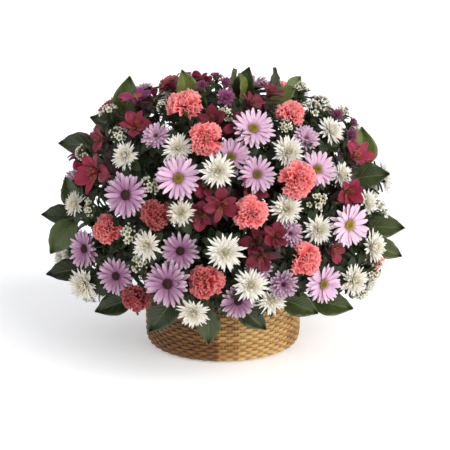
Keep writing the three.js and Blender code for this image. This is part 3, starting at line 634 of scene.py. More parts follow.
    def moved(self, first: Sequence[Head], tip: float, turn: float) -> list[Head]:
        """Heads of a spray tipped back over the dome, then turned to the side or the back.

        Args:
            first: the spray's heads.
            tip: how far they tip, in degrees.
            turn: how far they turn.

        Returns:
            The new heads.
        """
        copies = []
        for head in first:
            copy = self.swung(head, ACROSS, -tip, turn, self.dome.radius)
            on_rim = head.kind is Kind.LEAF and copy.home[2] < BASKET.foam_top
            if copy.home[1] > 0 and not on_rim:
                copy.home[1] *= self.dome.far_depth / self.dome.radius
            copies.append(copy if on_rim else self.tucked(copy))
        return copies

    def crowding(self, spray: Sequence[Head], homes: Array, radii: Array) -> float:
        """How much a spray would crowd the heads already there.

        Args:
            spray: the heads that come in.
            homes: places of the heads that are there.
            radii: their radii.

        Returns:
            A number that grows with the crowding.
        """
        total = 0.0
        for head in spray:
            lack = head.radius + radii + self.air - np.linalg.norm(homes - head.home, axis=1)
            total += float(np.sum(np.maximum(0, lack) ** 2))
        return total

    def there(self) -> tuple[Array, Array]:
        """Places and radii of all the heads so far."""
        heads = [head for spray in self.sprays for head in spray.heads]
        return np.array([head.home for head in heads]), np.array([head.radius for head in heads])

    def repeat(self) -> None:
        """Repeats the marked sprays round the sides and the back, with one more bloom each."""
        for spray in [spray for spray in self.sprays if spray.again]:
            homes, radii = self.there()
            best, chosen = math.inf, spray.heads
            for tip in (0,) if spray.kind is Kind.LEAF else self.tips:
                for turn in range(self.turn_from, self.turn_to + 1, self.turn_step):
                    copy = self.moved(spray.heads, tip, turn)
                    crowd = self.crowding(copy, homes, radii)
                    if crowd < best:
                        best, chosen = crowd, copy
            self.sprays.append(Spray(spray.kind, chosen, repeated=True))
        for spray in self.sprays:
            if spray.repeated and spray.kind is not Kind.LEAF:
                more = self.one_more(spray.heads)
                if more is not None:
                    spray.heads.append(more)

    def one_more(self, heads: Sequence[Head]) -> Head | None:
        """The spot for one more head with the most room, clear of the others and the basket.

        Args:
            heads: the spray's heads.

        Returns:
            The new head, or None where there is no room.
        """
        homes, radii = self.there()
        best, chosen = math.inf, None
        for first in heads:
            across = unit(np.array([-first.home[1], first.home[0], 0.0]))
            for tip in self.more_tips:
                for turn in self.more_turns:
                    head = self.tucked(self.swung(first, across, tip, turn, self.dome.far_depth))
                    gaps = np.linalg.norm(homes - head.home, axis=1)
                    near = bool(np.any(gaps < head.radius + radii + self.more_air))
                    out = math.hypot(head.home[0], head.home[1])
                    low = head.home[2] < self.more_low and out < self.more_clear
                    if near or low:
                        continue
                    crowd = self.crowding([head], homes, radii)
                    if crowd < best:
                        best, chosen = crowd, head
        return chosen

    # ---- settling

    @staticmethod
    def ball_ring(count: int, share: float, height: float, r: float) -> list[tuple[float, ...]]:
        """A ring of balls at a share of the head's radius."""
        turns = [i * 2 * math.pi / count for i in range(count)]
        return [(math.cos(a) * share, math.sin(a) * share, height, r) for a in turns]

    def room_balls(self, kind: Kind) -> Array:
        """The room of a kind of head as balls, in shares of its radius.

        Args:
            kind: the kind of head.

        Returns:
            One ball a row, as place and radius.
        """
        ring = self.ball_ring
        balls = {
            Kind.CARNATION: [(0, 0, -0.1, 0.62), (0, 0, -0.6, 0.3), *ring(8, 0.72, 0.02, 0.28)],
            Kind.DAISY: [(0, 0, 0.02, 0.3), *ring(6, 0.5, 0.06, 0.2), *ring(12, 0.86, 0.13, 0.16)],
            Kind.MUM: [(0, 0, 0.12, 0.45), *ring(6, 0.5, 0.08, 0.3), *ring(10, 0.82, 0.05, 0.2)],
            Kind.LILY: [(0, 0, -0.35, 0.38), *ring(6, 0.45, -0.12, 0.3), *ring(9, 0.8, 0, 0.22)],
            Kind.BUTTON: [(0, 0, -0.05, 0.9)],
            Kind.WAX: [(0, 0, -0.1, 0.8)],
            Kind.LEAF: [(x, y, 0, 0.22) for x in (-0.75, -0.4, 0, 0.4, 0.75) for y in (-0.28, 0.28)],
        }
        return np.array(balls[kind], dtype=float)

    def settle(self) -> None:
        """Turns each head into its axes and pushes touching heads apart."""
        heads = [head for spray in self.sprays for head in spray.heads]
        for i, head in enumerate(heads):
            head.at, head.seed = head.home.copy(), i
            x = square_axis(head.facing, draw(i, 1) * 2 * math.pi) if head.tip is None else head.tip
            head.axes = np.stack([x, np.cross(head.facing, x), head.facing], axis=1)
            balls = self.room_balls(head.kind)
            head.offsets = balls[:, :3] @ head.axes.T * head.radius
            head.radii = balls[:, 3] * head.radius
        bounds = [float(np.max(np.linalg.norm(h.offsets, axis=1) + h.radii)) for h in heads]
        pairs = []
        for i, a in enumerate(heads):
            for j in range(i + 1, len(heads)):
                b = heads[j]
                if np.linalg.norm(a.home - b.home) < a.radius + b.radius + self.reach:
                    offsets = a.offsets[:, None, :] - b.offsets[None, :, :]
                    sums = a.radii[:, None] + b.radii[None, :] + GAP
                    bound = bounds[i] + bounds[j] + GAP
                    pairs.append((a, b, bound, offsets.reshape(-1, 3), sums.ravel()))
        for step in range(self.steps):
            for a, b, bound, offsets, sums in pairs:
                between = a.at - b.at
                if float(between @ between) > bound * bound:
                    continue
                d = offsets + between
                distances = np.maximum(np.sqrt(np.einsum("ij,ij->i", d, d)), 1e-6)
                depths = sums - distances
                k = int(np.argmax(depths))
                if depths[k] > 0:
                    push = d[k] * (depths[k] / distances[k])
                    a.at = a.at + push * self.share
                    b.at = b.at - push * self.share
            if step < self.steps - self.last_steps:
                for head in heads:
                    head.at = head.at + (head.home - head.at) * self.pull

    # ---- the stems

    def over(self, p: Array, rim: tuple[float, float], foam: tuple[float, float]) -> float:
        """Room over the basket's rim and the foam at a point.

        Args:
            p: the point.
            rim: margins outwards and upwards at the rim.
            foam: the same at the foam.

        Returns:
            The room in millimetres.
        """
        out = math.hypot(p[0], p[1])
        on_rim = p[2] - BASKET.height - rim[1] if out < BASKET.mouth + rim[0] else math.inf
        on_foam = p[2] - BASKET.foam_top - foam[1] if out < BASKET.foam_radius + foam[0] else math.inf
        return min(on_rim, on_foam)

    def others(self, spray: int) -> tuple[Array, Array]:
        """Ends of the stretches of the other sprays so far.

        Args:
            spray: number of the spray that is left out.

        Returns:
            Starts and ends, one stretch a row.
        """
        keep = [k for k, owner in enumerate(self.owners) if owner != spray]
        starts = np.array([self.starts[k] for k in keep]).reshape(-1, 3)
        return starts, np.array([self.ends[k] for k in keep]).reshape(-1, 3)

    def room_round(self, a: Array, b: Array, other: tuple[Array, Array], own: Head) -> float:
        """Room left round a stretch to the other stems, to the heads and to the basket.

        Args:
            a: one end of the stretch.
            b: its other end.
            other: ends of the other sprays' stretches.
            own: the head that the stem carries.

        Returns:
            The room in millimetres.
        """
        room = math.inf
        if len(other[0]):
            room = float(np.min(stretch_gaps(a, b, *other))) - 2 * STEM.radius
        middle = a + (b - a) * 0.5
        away = np.linalg.norm(self.ats - middle, axis=1) <= STEM.far_off
        away[own.seed] = False
        picked = away[self.ball_heads]
        centres = self.ball_centres[picked]
        if len(centres):
            gaps = stretch_gaps(a, b, centres, centres) - self.ball_radii[picked] - STEM.radius
            room = min(room, float(np.min(gaps)))
        t = 0.0
        while t <= 1:
            room = min(room, self.over(a + (b - a) * t, STEM.rim, STEM.foam))
            t += 1 / STEM.samples
        return room

    def best_branch(self, fork: Array, head: Head, other: tuple[Array, Array]) -> tuple[float, list]:
        """The branch with the most room, straight where the head faces away from the fork.

        Args:
            fork: the spray's fork.
            head: the head.
            other: ends of the other sprays' stretches.

        Returns:
            Its room and its stretches.
        """
        neck, back = head.neck(), head.back()
        straight = float(unit(neck - fork) @ back) > STEM.straight
        best, chosen = -math.inf, []
        for depth in (0, *STEM.knees) if straight else STEM.knees:
            knee = neck - back * depth
            stretches = [(fork, knee), (knee, neck)] if depth else [(fork, neck)]
            room = min(self.room_round(a, b, other, head) for a, b in stretches)
            if room > best:
                best, chosen = room, stretches
            if best > STEM.clearance:
                break
        return best, chosen

    def root_of(self, fork: Array) -> tuple[Array, Array]:
        """Where a stem enters the foam and where it ends.

        Args:
            fork: the spray's fork.

        Returns:
            The entry and the end.
        """
        heart = np.array([0.0, 0.0, BASKET.foam_top - STEM.aim_below])
        steep = max(0.0, (fork[2] - heart[2]) / float(np.linalg.norm(fork - heart)))
        target = np.array([0.0, 0.0, (1 - steep) * STEM.aim_high + steep * STEM.aim_low])
        way = unit(target - fork)
        entry = fork.copy()
        while math.hypot(entry[0], entry[1]) > BASKET.foam_radius or entry[2] > BASKET.foam_top:
            entry = entry + way * STEM.aim_step
        return entry, entry + way * STEM.depth

    def forks(self, way: Array) -> Iterable[Array]:
        """Forks to try for heads that lie in a direction from the dome's centre.

        Args:
            way: unit direction from the dome's centre.

        Returns:
            The forks in turn.
        """
        for reach in FORK.reaches:
            for turn in FORK.turns:
                for lean in FORK.leans:
                    fork = self.dome.middle + unit(about(way, UP, turn) + UP * lean) * reach
                    if math.hypot(fork[0], fork[1]) < FORK.inner:
                        fork[2] = max(fork[2], BASKET.height + FORK.over_rim)
                    yield fork

    def route_spray(self, index: int) -> Route:
        """Finds the stems of one spray.

        Args:
            index: number of the spray.

        Returns:
            Its route.
        """
        spray, other = self.sprays[index], self.others(index)
        middle = sum(head.at for head in spray.heads) / len(spray.heads)
        best: Route | None = None
        for fork in self.forks(unit(middle - self.dome.middle)):
            entry, end = self.root_of(fork)
            in_foam = main = math.inf
            if len(other[0]):
                in_foam = float(np.min(stretch_gaps(entry, end, *other))) - 2 * BASKET.foam_hole
                main = float(np.min(stretch_gaps(fork, entry, *other))) - 2 * STEM.radius
            if best is not None and in_foam < best.room:
                continue
            outer = fork + (entry - fork) * FORK.outer
            if math.hypot(outer[0], outer[1]) > BASKET.mouth - FORK.walls * BASKET.wall:
                main = min(main, outer[2] - BASKET.height - STEM.rim[0])
            found = [self.best_branch(fork, head, other) for head in spray.heads]
            room = min(in_foam, main, *(each for each, _ in found))
            if best is None or room > best.room:
                best = Route(room, fork, entry, end, [stretches for _, stretches in found])
            if best.room > STEM.clearance:
                break
        return best

    def route(self) -> None:
        """Finds the stems of all sprays, those with the most heads first."""
        heads = [head for spray in self.sprays for head in spray.heads]
        self.ats = np.array([head.at for head in heads])
        self.ball_centres = np.concatenate([head.at + head.offsets for head in heads])
        self.ball_radii = np.concatenate([head.radii for head in heads])
        self.ball_heads = np.repeat(np.arange(len(heads)), [len(head.radii) for head in heads])
        order = sorted(range(len(self.sprays)), key=lambda i: -len(self.sprays[i].heads))
        for index in order:
            route = self.sprays[index].route = self.route_spray(index)
            stretches = [(route.fork, route.entry), (route.entry, route.end)]
            stretches += [stretch for branch in route.branches for stretch in branch]
            for a, b in stretches:
                self.starts.append(a)
                self.ends.append(b)
                self.owners.append(index)

    # ---- the leaves under the blooms

    def spot_room(self, p: Array, other: tuple[Array, Array], taken: Sequence[UnderLeaf]) -> float:
        """Room round one spot of an under-leaf.

        Args:
            p: the point.
            other: ends of the other sprays' stretches.
            taken: the leaves placed so far.

        Returns:
            The room in millimetres.
        """
        by_head, by_stem, by_leaf = STEM.leaf_gaps
        room = self.over(p, STEM.leaf_rim, STEM.leaf_foam)
        near = (np.linalg.norm(self.ats - p, axis=1) <= UNDER.reach)[self.ball_heads]
        if near.any():
            gaps = np.linalg.norm(self.ball_centres[near] - p, axis=1) - self.ball_radii[near] - by_head
            room = min(room, float(np.min(gaps)))
        room = min(room, float(np.min(stretch_gaps(p, p, *other))) - STEM.radius - by_stem)
        for leaf in taken:
            room = min(room, float(np.min(np.linalg.norm(leaf.spots - p, axis=1))) - by_leaf)
        return room

    def place_under_leaves(self) -> None:
        """Gives each flower spray a leaf by its fork, where there is room for one."""
        taken: list[UnderLeaf] = []
        grid = [(x, y) for x in (-0.6, -0.2, 0.2, 0.6) for y in (-0.35, 0.35)] + [(0.9, 0)]
        for index, spray in enumerate(self.sprays):
            if spray.kind is Kind.LEAF:
                continue
            other = self.others(index)
            first = spray.route.branches[0][0][1]
            base = spray.route.fork + (first - spray.route.fork) * UNDER.share
            out = unit(base - self.dome.middle)
            best: UnderLeaf | None = None
            for k in range(UNDER.tries):
                tip = unit(square_axis(out, k * UNDER.turn) + out * UNDER.lean)
                facing = unit(out - tip * float(out @ tip))
                at = base + tip * (UNDER.length / 2 + UNDER.stalk)
                side = np.cross(facing, tip)
                spots = np.array([at + tip * (x * UNDER.length / 2) + side * (y * UNDER.width)
                                  for x, y in grid])
                room = min(self.spot_room(p, other, taken) for p in spots)
                if best is None or room > best.room:
                    best = UnderLeaf(room, at, tip, facing, base, spots)
            if best.room >= UNDER.room:
                taken.append(best)
                spray.leaves.append(best)


# ---- forms and the bench

@dataclass
class Form:
    """Faces in bulk: points, face corners with their places on the sheet, and values for the finish.

    Attributes:
        points: one point a row, in millimetres once placed.
        corners: point number of every face corner.
        sizes: number of corners of every face.
        uv: place of every corner across and along the sheet.
        slots: finish number of every face.
        values: tone, draw and ring of every point.
    """

    points: Array
    corners: Array
    sizes: Array
    uv: Array
    slots: Array
    values: Array

    def placed(self, axes: Array, at: Array) -> Form:
        """The form in other axes, given as the columns of a matrix, at a place."""
        return replace(self, points=self.points @ axes.T + at)

    def scaled(self, x: float, y: float, z: float) -> Form:
        """The form scaled along its own axes."""
        return replace(self, points=self.points * np.array([x, y, z]))

    def moved(self, way: Array) -> Form:
        """The form moved by a vector."""
        return replace(self, points=self.points + way)

    def finished(self, slot: int, tone: float = 0.5, chance: float = 0.5, ring: float = 1.0) -> Form:
        """The form with one finish and the same values all over."""
        values = np.tile(np.array([tone, chance, ring]), (len(self.points), 1))
        return replace(self, slots=np.full(len(self.sizes), slot), values=values)

    def copies(self, points: Array, slot: int, values: Array) -> Form:
        """Copies of the faces on new points.

        Args:
            points: the points of every copy, as copies by points by 3.
            slot: finish number of all the copies.
            values: tone, draw and ring of every copy, one row each.

        Returns:
            One form of all the copies.
        """
        count, size = points.shape[:2]
        shift = np.repeat(np.arange(count) * size, len(self.corners))
        return Form(points.reshape(-1, 3), np.tile(self.corners, count) + shift,
                    np.tile(self.sizes, count), np.tile(self.uv, (count, 1)),
                    np.full(len(self.sizes) * count, slot), np.repeat(values, size, axis=0))

    @staticmethod
    def joined(forms: Sequence[Form]) -> Form:
        """Several forms as one.

        Args:
            forms: the forms.

        Returns:
            One form.
        """
        starts = np.cumsum([0] + [len(form.points) for form in forms])
        corners = np.concatenate([form.corners + start for form, start in zip(forms, starts)])
        rest = {key: np.concatenate([getattr(form, key) for form in forms])
                for key in ("points", "sizes", "uv", "slots", "values")}
        return Form(corners=corners, **rest)

    def to_object(self, name: str, finishes: Sequence[bpy.types.Material]) -> bpy.types.Object:
        """Makes the object of a piece, in metres, at the origin.

        Args:
            name: the piece's name.
            finishes: its materials, by slot number.

        Returns:
            The new object.
        """
        mesh = bpy.data.meshes.new(name)
        mesh.vertices.add(len(self.points))
        mesh.vertices.foreach_set("co", (self.points * MM).astype(np.float32).ravel())
        mesh.loops.add(len(self.corners))
        mesh.loops.foreach_set("vertex_index", self.corners.astype(np.int32))
        mesh.polygons.add(len(self.sizes))
        starts = np.concatenate([[0], np.cumsum(self.sizes)[:-1]])
        mesh.polygons.foreach_set("loop_start", starts.astype(np.int32))
        mesh.update(calc_edges=True)
        mesh.polygons.foreach_set("material_index", self.slots.astype(np.int32))
        mesh.polygons.foreach_set("use_smooth", np.ones(len(self.sizes), dtype=bool))
        mesh.uv_layers.new(name="sheet").data.foreach_set("uv", self.uv.astype(np.float32).ravel())
        for column, label in enumerate(CARRIED):
            layer = mesh.attributes.new(label, "FLOAT", "POINT")
            layer.data.foreach_set("value", self.values[:, column].astype(np.float32))
        for finish in finishes:
            mesh.materials.append(finish)
        mesh.validate()
        obj = bpy.data.objects.new(name, mesh)
        bpy.context.scene.collection.objects.link(obj)
        return obj


class Part(Enum):
    """What is picked on the bench."""

    POINT = "VERT"
    EDGE = "EDGE"
    FACE = "FACE"


class Bench:
    """One mesh on the bench: a primitive that is shaped in edit mode, its points picked by place."""

    def __init__(self, add: Callable[..., object], **options: object) -> None:
        """Puts a primitive on the bench and opens it.

        Args:
            add: operator that adds the primitive.
            options: its size and place.
        """
        if bpy.context.view_layer.objects.active and bpy.context.mode != "OBJECT":
            bpy.ops.object.mode_set(mode="OBJECT")
        bpy.ops.object.select_all(action="DESELECT")
        add(**options)
        self.obj = bpy.context.active_object
        bpy.ops.object.transform_apply(location=True, rotation=True, scale=True)
        bpy.ops.object.mode_set(mode="EDIT")

    @classmethod
    def drum(cls, sides: int, radius: float, bottom: float, tall: float, rings: int) -> Bench:
        """An upright cylinder on the bench, cut into rings.

        Args:
            sides: number of its sides.
            radius: its radius.
            bottom: height of its lower end.
            tall: its own height.
            rings: number of rings; above 100 they are cut in two goes, the second into 76.

        Returns:
            The bench.
        """
        bench = cls(bpy.ops.mesh.primitive_cylinder_add, vertices=sides, radius=radius, depth=tall,
                    location=(0.0, 0.0, bottom + tall / 2))
        for part in (rings,) if rings < 100 else (rings // 76, 76):
            bench.pick(lambda a, b: abs(a.z - b.z) > 0.001, Part.EDGE)
            bpy.ops.mesh.subdivide(number_cuts=part - 1)
        return bench

    def pick(self, test: Callable[..., bool], part: Part = Part.POINT) -> None:
        """Selects what passes a test, and nothing else.

        Args:
            test: takes a point's place, the places of an edge's ends, or a face's middle and normal.
            part: what is picked.
        """
        bpy.ops.mesh.select_mode(type=part.value)
        bpy.ops.mesh.select_all(action="DESELECT")
        mesh = bmesh.from_edit_mesh(self.obj.data)
        if part is Part.POINT:
            for vert in mesh.verts:
                if test(vert.co):
                    vert.select_set(True)
            mesh.select_flush(True)
        elif part is Part.EDGE:
            for edge in mesh.edges:
                edge.select_set(bool(test(edge.verts[0].co, edge.verts[1].co)))
        else:
            for face in mesh.faces:
                face.select_set(bool(test(face.calc_center_median(), face.normal)))
        bmesh.update_edit_mesh(self.obj.data)

    def move(self, x: float = 0.0, y: float = 0.0, z: float = 0.0) -> None:
        """Moves what is picked."""
        bpy.ops.transform.translate(value=(x, y, z))

    def size(self, x: float = 1.0, y: float = 1.0, z: float = 1.0,
             centre: tuple[float, float, float] = (0.0, 0.0, 0.0)) -> None:
        """Scales what is picked about a centre."""
        bpy.ops.transform.resize(value=(x, y, z), center_override=centre)

    def rows(self, widths: Sequence[float]) -> None:
        """Gives a sheet its outline, one width for each row from foot to tip.

        Args:
            widths: width at each row of points.
        """
        count = len(widths) - 1
        for row, width in enumerate(widths):
            place = row / count
            self.pick(lambda p, place=place: abs(p.y - place) < 0.45 / count)
            self.size(x=width)

    def hoops(self, heights: Sequence[float], radii: Sequence[float]) -> None:
        """Gives a round form its profile, one radius for each height.

        Args:
            heights: heights of the rings.
            radii: radius at each height.
        """
        for height, radius in zip(heights, radii):
            self.pick(lambda p, height=height: abs(p.z - height) < 1e-3)
            self.size(x=radius, y=radius, centre=(0.0, 0.0, height))

    def finish(self, thickness: float = 0.0) -> Form:
        """Leaves edit mode, thickens a sheet to a closed blade, and takes the mesh off the bench.

        Args:
            thickness: thickness of a sheet, in its own units, or nothing for a form that is closed.

        Returns:
            The finished form.
        """
        bpy.ops.object.mode_set(mode="OBJECT")
        if thickness:
            bpy.ops.object.modifier_add(type="SOLIDIFY")
            shell = self.obj.modifiers[-1]
            shell.thickness, shell.offset = thickness, 0.0
            bpy.ops.object.modifier_apply(modifier=shell.name)
        mesh = self.obj.data
        points = np.empty(len(mesh.vertices) * 3)
        mesh.vertices.foreach_get("co", points)
        corners = np.empty(len(mesh.loops), dtype=np.int64)
        mesh.loops.foreach_get("vertex_index", corners)
        sizes = np.empty(len(mesh.polygons), dtype=np.int64)
        mesh.polygons.foreach_get("loop_total", sizes)
        uv = np.zeros(len(mesh.loops) * 2)
        if mesh.uv_layers:
            mesh.uv_layers[0].data.foreach_get("uv", uv)
        bpy.data.objects.remove(self.obj, do_unlink=True)
        bpy.data.meshes.remove(mesh)
        count = len(points) // 3
        return Form(points.reshape(-1, 3), corners, sizes, uv.reshape(-1, 2),
                    np.zeros(len(sizes), dtype=np.int64), np.full((count, 3), 0.5))


@dataclass(frozen=True)
class Sheet:
    """A petal or leaf made from a flat sheet, 1 wide about the middle and 1 long from its foot at 0.

    Attributes:
        across: number of faces across.
        widths: width at each row of points, from foot to tip.
        thickness: thickness of the blade.
        folds: what is moved, as distances from the middle line between which it lies, the place along
            that it lies beyond, and the way up and forward that it goes.
    """

    across: int
    widths: tuple[float, ...]
    thickness: float
    folds: tuple[tuple[float, ...], ...] = ()

    def bench(self) -> Bench:
        """The folded sheet on the bench, before it gets its outline.

        Returns:
            The bench.
        """
        bench = Bench(bpy.ops.mesh.primitive_grid_add, x_subdivisions=self.across,
                      y_subdivisions=len(self.widths) - 1, size=1.0, location=(0.0, 0.5, 0.0))
        for fold in self.folds:
            bench.pick(lambda p, fold=fold: fold[0] < abs(p.x) < fold[1] and p.y > fold[2])
            bench.move(y=fold[4], z=fold[3])
        return bench

    def finish(self, bench: Bench) -> Form:
        """The blade with its outline and its thickness."""
        bench.rows(self.widths)
        return bench.finish(self.thickness)


STRAP = Sheet(4, (0.36, 0.68, 0.94, 1.0, 0.93, 0.42), 0.03,
              ((0.45, 1, -1, 0.09, 0), (0.2, 0.3, -1, -0.02, 0), (-1, 0.1, -1, 0.03, 0),
               (-1, 0.3, 0.95, 0, 0.035), (-1, 0.1, 0.95, 0, -0.03)))
CUSHION = Sheet(2, (0.42, 0.8, 1.0, 0.9, 0.26), 0.05, ((0.4, 1, -1, 0.26, 0), (-1, 0.1, 0.95, 0, 0.05)))
RUFFLED = Sheet(10, (0.14, 0.27, 0.66, 0.94, 1.0), 0.02)
LILY = Sheet(6, (0.18, 0.26, 0.42, 0.64, 0.86, 1.0, 0.99, 0.8, 0.3), 0.02,
             ((0.45, 1, -1, 0.1, 0), (0.3, 0.36, -1, 0.07, 0), (-1, 0.05, -1, -0.04, 0),
              (-1, 0.2, 0.95, 0, 0.03)))
ROUND = Sheet(2, (0.5, 0.95, 1.0, 0.55), 0.06, ((0.4, 1, -1, 0.12, 0),))
BLADE = Sheet(8, (0.05, 0.4, 0.66, 0.83, 0.94, 0.99, 1.0, 0.97, 0.9, 0.8, 0.67, 0.52, 0.35, 0.18, 0.02),
              0.018, ((0.49, 0.51, -1, 0.16, 0), (0.365, 0.385, -1, 0.125, 0), (0.24, 0.26, -1, 0.08, 0),
                      (0.115, 0.135, -1, 0.03, 0)))
LOBED = Sheet(2, (0.08, 0.36, 0.74, 0.56, 1.0, 0.72, 0.84, 0.52, 0.34, 0.03), 0.03,
              ((0.4, 1, -1, 0.14, 0),))
LEAFLET = Sheet(2, (0.12, 0.7, 1.0, 0.88, 0.5, 0.03), 0.05, ((0.4, 1, -1, 0.14, 0),))
RUFFLES = ((2.5, 0.4), (3.0, 2.1), (2.0, 4.0))


@dataclass(frozen=True)
class Masters:
    """The forms that are modelled once and repeated in every bloom, leaf and stem."""

    strap: Form
    cushion: Form
    ruffles: tuple[Form, ...]
    lily: Form
    round: Form
    blade: Form
    lobed: Form
    leaflet: Form
    cup: Form
    grain: Form
    rod: Form
    twig: Form
    strand: Form

    @classmethod
    def modelled(cls) -> Masters:
        """Models every master on the bench.

        Returns:
            The masters.
        """
        strap, cushion, lily, petal, lobed, leaflet = (
            sheet.finish(sheet.bench()) for sheet in (STRAP, CUSHION, LILY, ROUND, LOBED, LEAFLET))
        return cls(strap, cushion, tuple(cls.ruffled_petal(*ruffle) for ruffle in RUFFLES), lily, petal,
                   cls.leaf_blade(), lobed, leaflet, cls.cup_of_sepals(), cls.disc_grain(),
                   cls.stem_rod(7, 18), cls.stem_rod(4, 5), cls.stem_rod(6, 304))

    @staticmethod
    def ruffled_petal(turns: float, shift: float) -> Form:
        """Fan of a petal whose edge is ruffled and cut into small teeth.

        Args:
            turns: number of waves along the edge.
            shift: where the waves start.

        Returns:
            The petal.
        """
        across = RUFFLED.across
        bench = RUFFLED.bench()
        for column in range(across + 1):
            place = column / across - 0.5
            wave = math.sin((place + 0.5) * turns * 2 * math.pi + shift)
            for above, rise in ((0.45, 0.05), (0.7, 0.06), (0.95, 0.07)):
                bench.pick(lambda p, place=place, above=above: abs(p.x - place) < 0.01 and p.y > above)
                bench.move(z=wave * rise)
        bench.pick(lambda p: p.y > 0.95 and round((p.x + 0.5) * across) % 2 == 0)
        bench.move(y=-0.075)
        bench.pick(lambda p: p.y > 0.9 and abs(p.x) > 0.35)
        bench.move(y=-0.09)
        return RUFFLED.finish(bench)

    @staticmethod
    def leaf_blade() -> Form:
        """Pointed oval leaf, folded along its midrib, with a slightly wavy edge.

        Returns:
            The leaf.
        """
        bench = BLADE.bench()
        rows = len(BLADE.widths) - 1
        for side in (-1, 1):
            for row in range(2, rows - 1):
                bench.pick(lambda p, side=side, y=row / rows: p.x * side > 0.45 and abs(p.y - y) < 0.01)
                bench.move(z=math.sin(row * 1.9 + side) * 0.035)
        return BLADE.finish(bench)

    @staticmethod
    def cup_of_sepals() -> Form:
        """Green cup under a bloom, 1 high and 1 in radius at its rim.

        Returns:
            The cup.
        """
        bench = Bench.drum(12, 1.0, 0.0, 1.0, 5)
        bench.hoops((0.0, 0.2, 0.4, 0.6, 0.8, 1.0), (0.42, 0.66, 0.8, 0.88, 0.95, 1.0))
        bench.pick(lambda p: p.z > 0.95 and round(math.atan2(p.y, p.x) / (math.pi / 6)) % 2 == 0)
        bench.move(z=0.16)
        return bench.finish()

    @staticmethod
    def disc_grain() -> Form:
        """One tiny flower of a disc.

        Returns:
            The grain.
        """
        bench = Bench(bpy.ops.mesh.primitive_uv_sphere_add, segments=6, ring_count=4, radius=1.0,
                      location=(0.0, 0.0, 0.0))
        bench.pick(lambda p: p.z > 0.9)
        bench.move(z=-0.2)
        return bench.finish()

    @staticmethod
    def stem_rod(sides: int, rings: int) -> Form:
        """A rod 1 long and 1 in radius, cut into rings so that it can be bent."""
        return Bench.drum(sides, 1.0, 0.0, 1.0, rings).finish()


# ---- bending and laying

def bend_out(master: Form, azimuth: Sequence[float], base: Numbers, height: Numbers, length: Numbers,
             width: Numbers, lift: Numbers, curl: Numbers, twist: Numbers, sway: Numbers) -> Array:
    """Bends copies of a petal and sets them round an axis.

    Args:
        master: the flat petal, 1 wide and 1 long.
        azimuth: direction of each copy round the axis. The others are one number a copy, or for all.
        base: distance of its foot from the axis.
        height: height of its foot.
        length: its length.
        width: its width.
        lift: angle of its foot above the level.
        curl: angle that it bends up by along its length.
        twist: angle that it twists by along its length.
        sway: sideways shift of its tip, as a share of its length.

    Returns:
        Points as copies by points by 3.
    """
    across, along, off = (master.points[:, axis][None, :] for axis in range(3))
    azimuth, base, height, length, width, lift, curl, twist, sway = (
        np.broadcast_to(np.asarray(value, dtype=float), len(azimuth))[:, None]
        for value in (azimuth, base, height, length, width, lift, curl, twist, sway))
    curl = np.where(np.abs(curl) < 1e-3, 1e-3, curl)
    turn = twist * along
    x = (across * np.cos(turn) - off * np.sin(turn)) * width + sway * along ** 2 * length
    z = (across * np.sin(turn) + off * np.cos(turn)) * width
    angle = lift + curl * along
    out = (np.sin(angle) - np.sin(lift)) / curl * length - np.sin(angle) * z + base
    up = (np.cos(lift) - np.cos(angle)) / curl * length + np.cos(angle) * z + height
    c, s = np.cos(azimuth), np.sin(azimuth)
    return np.stack([c * out + s * x, s * out - c * x, up], axis=2)


def lay(master: Form, path: Array, radii: Sequence[float]) -> Form:
    """Lays a rod along a path.

    Args:
        master: the rod, 1 long and 1 in radius.
        path: points of the path, one a row.
        radii: radii at even places along it.

    Returns:
        The bent rod.
    """
    steps = np.linalg.norm(np.diff(path, axis=0), axis=1)
    places = np.concatenate([[0], np.cumsum(steps)]) / max(float(steps.sum()), 1e-9)
    rings, which = np.unique(np.round(master.points[:, 2], 5), return_inverse=True)
    spots = np.stack([np.interp(rings, places, path[:, axis]) for axis in range(3)], axis=1)
    sizes = np.interp(rings, np.linspace(0, 1, len(radii)), radii)
    ways = np.gradient(spots, axis=0)
    ways /= np.maximum(np.linalg.norm(ways, axis=1, keepdims=True), 1e-9)
    side = square_axis(ways[0], 0.0)
    sides = []
    for way in ways:
        side = side - way * float(side @ way)
        side = side / max(float(np.linalg.norm(side)), 1e-9)
        sides.append(side)
    sides = np.array(sides)
    tops = np.cross(ways, sides)
    points = (spots[which] + sides[which] * (master.points[:, :1] * sizes[which][:, None])
              + tops[which] * (master.points[:, 1:2] * sizes[which][:, None]))
    return replace(master, points=points)


def rounded(path: Sequence[Array], passes: int = 3) -> Array:
    """A path with its corners cut round, its ends kept.

    Args:
        path: points along it, one a row.
        passes: how often corners are cut.

    Returns:
        The points of the rounder path.
    """
    points = np.array(path, dtype=float)
    for _ in range(passes):
        first, second = points[:-1], points[1:]
        inner = np.stack([first * 0.75 + second * 0.25, first * 0.25 + second * 0.75], axis=1)
        points = np.concatenate([points[:1], inner.reshape(-1, 3)[1:-1], points[-1:]])
    return points


# ---- shader arithmetic

Colour = tuple[float, float, float]


def linear(colour: Colour) -> tuple[float, float, float, float]:
    """A colour given as 0-255 steps on screen, as a linear colour.

    Args:
        colour: red, green and blue.

    Returns:
        Red, green, blue and alpha.
    """
    def channel(step: float) -> float:
        """One channel as linear light."""
        c = step / 255
        return c / 12.92 if c <= 0.04045 else ((c + 0.055) / 1.055) ** 2.4
    return channel(colour[0]), channel(colour[1]), channel(colour[2]), 1.0


